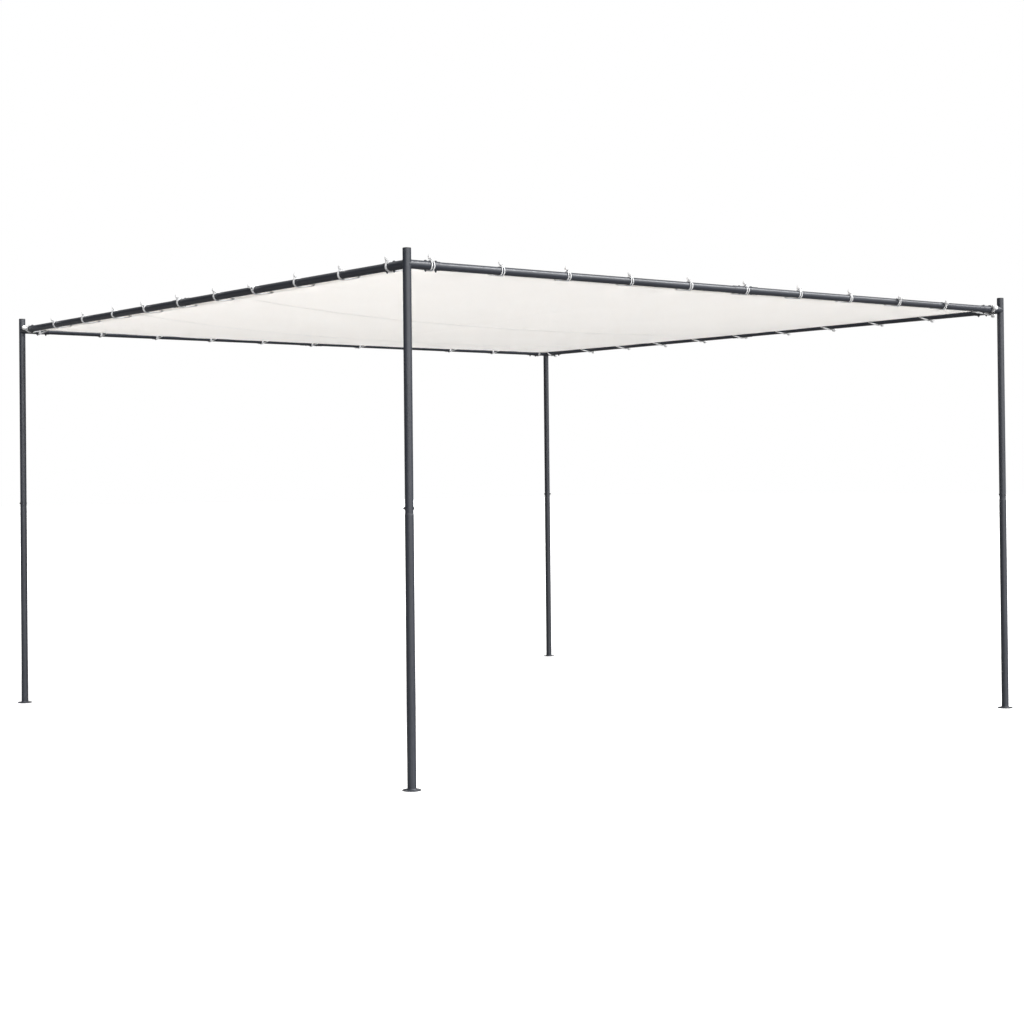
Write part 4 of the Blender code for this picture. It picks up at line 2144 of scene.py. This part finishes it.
@dataclass(frozen=True)
class TieRow:
    """The ball ties of one side: a doubled elastic cord round the rail and through an eyelet.

    A share is how much of the spread a strand keeps from its tie's middle at that place. The
    ball's angles and the rest's ends are in degrees, and the eyelet's offsets go inward and up.
    """

    side: Side
    hang: Hang
    ball_angles: tuple[float, ...]
    spread: float = 0.0062
    lean: float = 0.0
    lean_share: float = 0.6
    cord: float = 0.0025
    cord_gap: float = 0.0002
    cord_step: float = 0.0035
    ball: float = 0.013
    ball_lift: float = 0.0145
    ball_hole: float = 0.0032
    ball_dimple: float = 0.0018
    neck_way: Band = (0.76, -0.65)
    end_slants: Band = (0.0, 0.0)
    below_eyelet: Band = (-0.001, -0.0062)
    above_eyelet: Band = (-0.004, 0.0052)
    in_eyelet: Band = (0.0022, 0.003)
    rest_ends: Band = (24.0, 34.0)
    rest_tip: float = 0.07
    rest_points: int = 6
    wrap_points: int = 12
    ball_shares: Band = (0.35, 0.40)
    wrap_share: float = 1.0
    below_shares: Band = (0.75, 0.50)
    eyelet_share: float = 0.45
    above_shares: Band = (0.50, 0.70)
    rest_shares: Triple = (0.80, 0.45, 0.0)

    def slant(self, index: int) -> float:
        """How far along its rail a tie stands from its eyelet, which only the end ties do."""
        if index == 0:
            return self.end_slants[0]
        return self.end_slants[1] if index == SIZES.ties_per_side - 1 else 0.0

    def eyelet(self, x: float) -> Band:
        """An eyelet's middle in the section across the rail.

        Args:
            x: its tie's place along the side.

        Returns:
            Its inward and upward distance from the rail's axis.
        """
        inward = SIZES.canopy_inset + SIZES.eyelet_inset
        rise = SIZES.edge_rise(x, SIZES.half - inward)
        return inward, (rise - SIZES.canopy_drop) * self.hang.value

    def ball_seat(self, wrap: float, ball_angle: float) -> tuple[Vector, Vector]:
        """How a ball sits in the section across the rail.

        Args:
            wrap: the radius of the cord's middle round the tube.
            ball_angle: where the ball sits round it, in degrees from the inward side.

        Returns:
            Its centre, and the direction in which its cord leaves it.
        """
        radial = Vector(on_circle(1.0, math.radians(ball_angle)))
        onward = Vector((-radial.y, radial.x))
        neck = self.neck_way[0] * onward + self.neck_way[1] * radial
        return radial * (wrap + self.ball_lift), neck.normalized()

    def section_route(self, wrap: float, ball_angle: float, eyelet: Band) -> list[Triple]:
        """One strand of a tie in the section across the rail, as if its ball sat on top.

        Args:
            wrap: the radius of the cord's middle round the tube.
            ball_angle: where the ball sits round it, in degrees from the inward side.
            eyelet: the eyelet's middle in that section.

        Returns:
            Rows of inward distance, upward distance and share of the spread, from the ball out
            round the tube to the eyelet and back over the tube to the ball's neck.
        """
        centre, neck_way = self.ball_seat(wrap, ball_angle)
        neck = centre + neck_way * self.ball
        start = Vector(eyelet)
        below, above = start + Vector(self.below_eyelet), start + Vector(self.above_eyelet)
        meets = math.atan2(neck.y, neck.x) + math.acos(min(wrap / neck.length, 1.0))
        leaves = math.atan2(below.y, below.x) + 2 * math.pi - math.acos(wrap / below.length)
        returns = math.atan2(above.y, above.x) + math.acos(wrap / above.length)
        rest, last = (math.radians(ball_angle + end) for end in self.rest_ends)
        under = below.lerp(Vector(on_circle(wrap, leaves)), 0.5)
        over = above.lerp(Vector(on_circle(wrap, returns)), 0.5)
        inward, rise = self.in_eyelet

        route = [(*centre.lerp(neck, 0.5), self.ball_shares[0]), (*neck, self.ball_shares[1])]
        for angle in np.linspace(meets, leaves, self.wrap_points):
            route.append((*on_circle(wrap, angle), self.wrap_share))
        route += [(*under, self.below_shares[0]), (*below, self.below_shares[1])]
        for level in (-rise, rise):
            route.append((eyelet[0] + inward, eyelet[1] + level, self.eyelet_share))
        route += [(*above, self.above_shares[0]), (*over, self.above_shares[1])]
        for angle in np.linspace(returns, rest, self.rest_points):
            route.append((*on_circle(wrap, angle), self.rest_shares[0]))
        route.append((*on_circle(wrap, last), self.rest_shares[1]))
        route.append((*on_circle(wrap, last + self.rest_tip), self.rest_shares[2]))
        return route

    def placed(self, x: float, across: float, inward: float, up: float) -> Vector:
        """A point of a tie in the gazebo's frame.

        Args:
            x: the tie's place along its side.
            across: how far the point stands from that along the side.
            inward: its distance from the rail's axis towards the canopy.
            up: its height over the rail's axis, before the tie is turned to hang.

        Returns:
            The point.
        """
        spot = (x + across, inward - SIZES.half, SIZES.rail_height + up * self.hang.value)
        return self.side.turn @ Vector(spot)

    def cord_line(self, index: int) -> list[Vector]:
        """The line of one tie's cord, from its ball out by one strand and back by the other.

        Args:
            index: the tie's number along its side.

        Returns:
            Its points in the gazebo's frame.
        """
        x = SIZES.tie_places()[index]
        wrap = SIZES.tube_at_tie(index) + self.cord + self.cord_gap
        eyelet = self.eyelet(x)
        route = self.section_route(wrap, self.ball_angles[index], eyelet)
        strands: list[list[Vector]] = []
        for way in (1.0, -1.0):
            strand = []
            for k, (inward, up, share) in enumerate(route):
                across = way * share * self.spread
                across += self.lean * max(0.0, 1.0 - k / (self.lean_share * len(route)))
                free = (eyelet[0] - inward) / (eyelet[0] - SIZES.sleeve)
                across += self.slant(index) * min(max(free, 0.0), 1.0)
                strand.append(self.placed(x, across, inward, up))
            strands.append(strand)
        return strands[0] + strands[1][-2::-1]

    def cords_mesh(self, finish: Material) -> Mesh:
        """The elastic cords of the side, each in one length from ball to ball.

        Args:
            finish: their material.

        Returns:
            The mesh.
        """
        recipe = Recipe("elastic_cord")
        radius = recipe.given("Cord radius", self.cord)
        step = recipe.given("Step", self.cord_step)
        plugs = {"Curve": recipe.paths}
        smooth = recipe.add("GeometryNodeCurveSplineType", plugs, spline_type="CATMULL_ROM")
        plugs = {"Curve": smooth.outputs[0], "Length": step}
        even = recipe.add("GeometryNodeResampleCurve", plugs, mode="LENGTH").outputs[0]
        run = recipe.marked(even, CORD_RUN, "Length")
        section = recipe.marked(recipe.circle(radius, sides=8), CORD_TURN, "Factor")
        recipe.close(recipe.swept(run, section), finish)
        lines = [self.cord_line(index) for index in range(SIZES.ties_per_side)]
        return recipe.make("cords", paths_mesh("cord_lines", lines))

    def balls_mesh(self, finish: Material) -> Mesh:
        """The balls of the side, each with a dimple where its cord comes out.

        Args:
            finish: their material.

        Returns:
            The mesh.
        """
        spots, axes = [], []
        for index, (x, angle) in enumerate(zip(SIZES.tie_places(), self.ball_angles)):
            wrap = SIZES.tube_at_tie(index) + self.cord + self.cord_gap
            centre, neck = self.ball_seat(wrap, angle)
            spots.append(self.placed(x, self.lean + self.slant(index), *centre))
            axes.append(self.side.turn @ Vector((0.0, neck.x, neck.y * self.hang.value)))
        recipe = Recipe("tie_balls")
        radius = recipe.given("Ball radius", self.ball)
        hole = recipe.given("Hole radius", self.ball_hole)
        dimple = recipe.given("Dimple depth", -self.ball_dimple)
        place = recipe.add("GeometryNodeInputPosition").outputs[0]
        x, y, z = recipe.add("ShaderNodeSeparateXYZ", {0: place}).outputs
        squares = [recipe.sums("MULTIPLY", part, part) for part in (x, y)]
        from_axis = recipe.sums("SQRT", recipe.sums("ADD", *squares))
        inside = recipe.sums("LESS_THAN", from_axis, hole)
        upper = recipe.sums("GREATER_THAN", z, 0.0)
        sink = recipe.sums("MULTIPLY", recipe.sums("MULTIPLY", inside, upper), dimple)
        ball = recipe.ball(radius, segments=24, rings=20)
        plugs = {"Geometry": ball, "Offset": recipe.vector(z=sink)}
        dimpled = recipe.add("GeometryNodeSetPosition", plugs).outputs[0]
        recipe.close(recipe.at_points(dimpled), finish)
        return recipe.make("balls", points_mesh("ball_spots", spots, axes))

    def build(self, finishes: Finishes) -> list[Object]:
        """Make the side's cords and balls.

        Args:
            finishes: the gazebo's finishes.

        Returns:
            The two pieces.
        """
        label = self.side.label
        node = label + "_hem_with_ties"
        cords = self.cords_mesh(finishes.elastic)
        balls = self.balls_mesh(finishes.ball)
        return [
            add_piece(label + "_tie_cords", cords, finishes.elastic, [node]),
            add_piece(label + "_tie_balls", balls, finishes.ball, [node]),
        ]


TIE_ROWS = (
    TieRow(
        Side.FRONT,
        Hang.OVER,
        (94, 98, 96, 100, 97, 95, 101, 106, 138, 148, 168),
        end_slants=(0.0, 0.032),
    ),
    TieRow(
        Side.RIGHT,
        Hang.UNDER,
        (142, 150, 156, 148, 153, 159, 151, 146, 155, 149, 152),
        end_slants=(-0.050, 0.050),
    ),
    TieRow(
        Side.BACK,
        Hang.UNDER,
        (166, 174, 170, 176, 168, 175, 171, 178, 172, 176, 174),
        spread=0.0032,
        end_slants=(-0.045, 0.020),
    ),
    TieRow(
        Side.LEFT,
        Hang.OVER,
        (168, 128, 100, 96, 132, 118, 112, 148, 98, 96, 106),
        spread=0.0032,
        lean=-0.008,
    ),
)


# ---------------------------------------------------------------- studio


@dataclass(frozen=True)
class Eye:
    """The camera at the photograph's angle."""

    place: Triple = (-6.2749, -8.1665, 1.2944)
    yaw: float = 0.9071
    pitch: float = 0.0092
    roll: float = -0.0100
    focal_pixels: float = 1813.6
    centre_row: float = 460.0
    image_side: float = 1024.0
    sensor: float = 36.0
    clip: Band = (0.1, 400.0)

    def build(self) -> Object:
        """Make the camera and look through it.

        Returns:
            The camera.
        """
        ahead = Vector((math.cos(self.yaw), math.sin(self.yaw), 0.0))
        right = Vector((math.sin(self.yaw), -math.cos(self.yaw), 0.0))
        up = Vector((0.0, 0.0, 1.0))
        tipped = math.cos(self.pitch) * ahead + math.sin(self.pitch) * up
        lifted = math.cos(self.pitch) * up - math.sin(self.pitch) * ahead
        side = math.cos(self.roll) * right + math.sin(self.roll) * lifted
        top = math.cos(self.roll) * lifted - math.sin(self.roll) * right
        data = bpy.data.cameras.new("eye")
        data.sensor_width = self.sensor
        data.lens = self.focal_pixels / self.image_side * self.sensor
        data.shift_y = (self.centre_row - self.image_side / 2) / self.image_side
        data.clip_start, data.clip_end = self.clip
        camera = new_object("eye", data)
        turn = Matrix((side, top, -tipped)).transposed().to_4x4()
        camera.matrix_world = Matrix.Translation(self.place) @ turn
        bpy.context.scene.camera = camera
        return camera


@dataclass(frozen=True)
class KeyLight:
    """A broad distant lamp, as even over the floor as over the gazebo."""

    towards: Triple = (0.64, -0.44, 0.63)
    width: float = 0.34
    strength: float = 2.20

    def build(self) -> Object:
        """Make the lamp.

        Returns:
            The lamp.
        """
        data = bpy.data.lights.new("key_light", "SUN")
        data.angle = self.width
        data.energy = self.strength
        lamp = new_object("key_light", data)
        lamp.rotation_euler = Vector(self.towards).to_track_quat("Z", "Y").to_euler()
        return lamp


@dataclass(frozen=True)
class SkyLight:
    """Soft light from all round, strongest overhead and on one side, on a white backdrop."""

    backdrop: Colour = (1.0, 1.0, 1.0, 1.0)
    least: float = 0.02
    side: Triple = (-0.090, -0.982, 0.165)
    side_band: Band = (0.30, 1.0)
    side_share: float = 4.60
    overhead_band: Band = (0.15, 0.95)
    overhead_share: float = 0.93

    def build(self) -> bpy.types.World:
        """Make the world that gives this light.

        Returns:
            The world.
        """
        world = bpy.data.worlds.new("studio_light")
        world.use_nodes = True
        work = NodeWork(world.node_tree)
        work.tree.nodes.clear()
        way = work.add("ShaderNodeTexCoord").outputs["Generated"]
        plugs = {0: way, 1: self.side}
        facing = work.add("ShaderNodeVectorMath", plugs, operation="DOT_PRODUCT").outputs["Value"]
        height = work.add("ShaderNodeSeparateXYZ", {0: way}).outputs[2]
        total = self.least
        for value, band, share in (
            (facing, self.side_band, self.side_share),
            (height, self.overhead_band, self.overhead_share),
        ):
            plugs = {"Value": value, "From Min": band[0], "From Max": band[1], "To Max": share}
            part = work.add("ShaderNodeMapRange", plugs, interpolation_type="SMOOTHSTEP")
            total = work.sums("ADD", part.outputs[0], total)
        light = work.add("ShaderNodeBackground", {"Strength": total})
        seen = work.add("ShaderNodeBackground", {"Color": self.backdrop})
        rays = work.add("ShaderNodeLightPath").outputs["Is Camera Ray"]
        plugs = {0: rays, 1: light.outputs[0], 2: seen.outputs[0]}
        mixed = work.add("ShaderNodeMixShader", plugs).outputs[0]
        work.add("ShaderNodeOutputWorld", {"Surface": mixed})
        bpy.context.scene.world = world
        return world


@dataclass(frozen=True)
class StudioFloor:
    """A white floor, which throws back much less light than it shows."""

    reach: float = 80.0
    shown: Colour = (0.93, 0.93, 0.93, 1.0)
    thrown_back: Colour = (0.20, 0.20, 0.20, 1.0)
    lift: float = 0.42
    rough: float = 0.9

    def build(self) -> Object:
        """Lay the floor.

        Returns:
            The floor.
        """
        signs = ((-1, -1), (1, -1), (1, 1), (-1, 1))
        corners = [(self.reach * x, self.reach * y, 0.0) for x, y in signs]
        mesh = mesh_of("studio_floor", corners, faces=[[0, 1, 2, 3]])
        work = SurfaceWork("studio_floor_paint")
        rays = work.add("ShaderNodeLightPath").outputs["Is Camera Ray"]
        work.colour(work.tint(rays, self.thrown_back, self.shown))
        work.plug(work.shader.inputs["Emission Strength"], work.sums("MULTIPLY", rays, self.lift))
        work.fixed(Roughness=self.rough, Specular_IOR_Level=0.0, Emission_Color=self.shown)
        mesh.materials.append(work.material)
        floor = new_object("studio_floor", mesh)
        return floor


@dataclass(frozen=True)
class Studio:
    """The room round the gazebo: floor, light and camera."""

    floor: StudioFloor = field(default_factory=StudioFloor)
    sky: SkyLight = field(default_factory=SkyLight)
    key: KeyLight = field(default_factory=KeyLight)
    eye: Eye = field(default_factory=Eye)

    def build(self) -> None:
        """Set up the room, its light and the camera."""
        for part in (self.floor, self.sky, self.key, self.eye):
            part.build()
        bpy.context.scene.view_settings.view_transform = "Standard"


def main() -> None:
    """Build the gazebo's parts in order, then the room round them."""
    logging.basicConfig(level=logging.INFO, format="%(name)s: %(message)s")
    finishes = Finishes()
    for corner in Corner:
        Post(corner).build(finishes)
    for side in Side:
        RailSide(side).build(finishes)
    Fasteners().build(finishes)
    ties = [piece for row in TIE_ROWS for piece in row.build(finishes)]
    sheet, *on_sheet = Canopy().build(finishes)
    Studio().build()


if __name__ == "__main__":
    main()
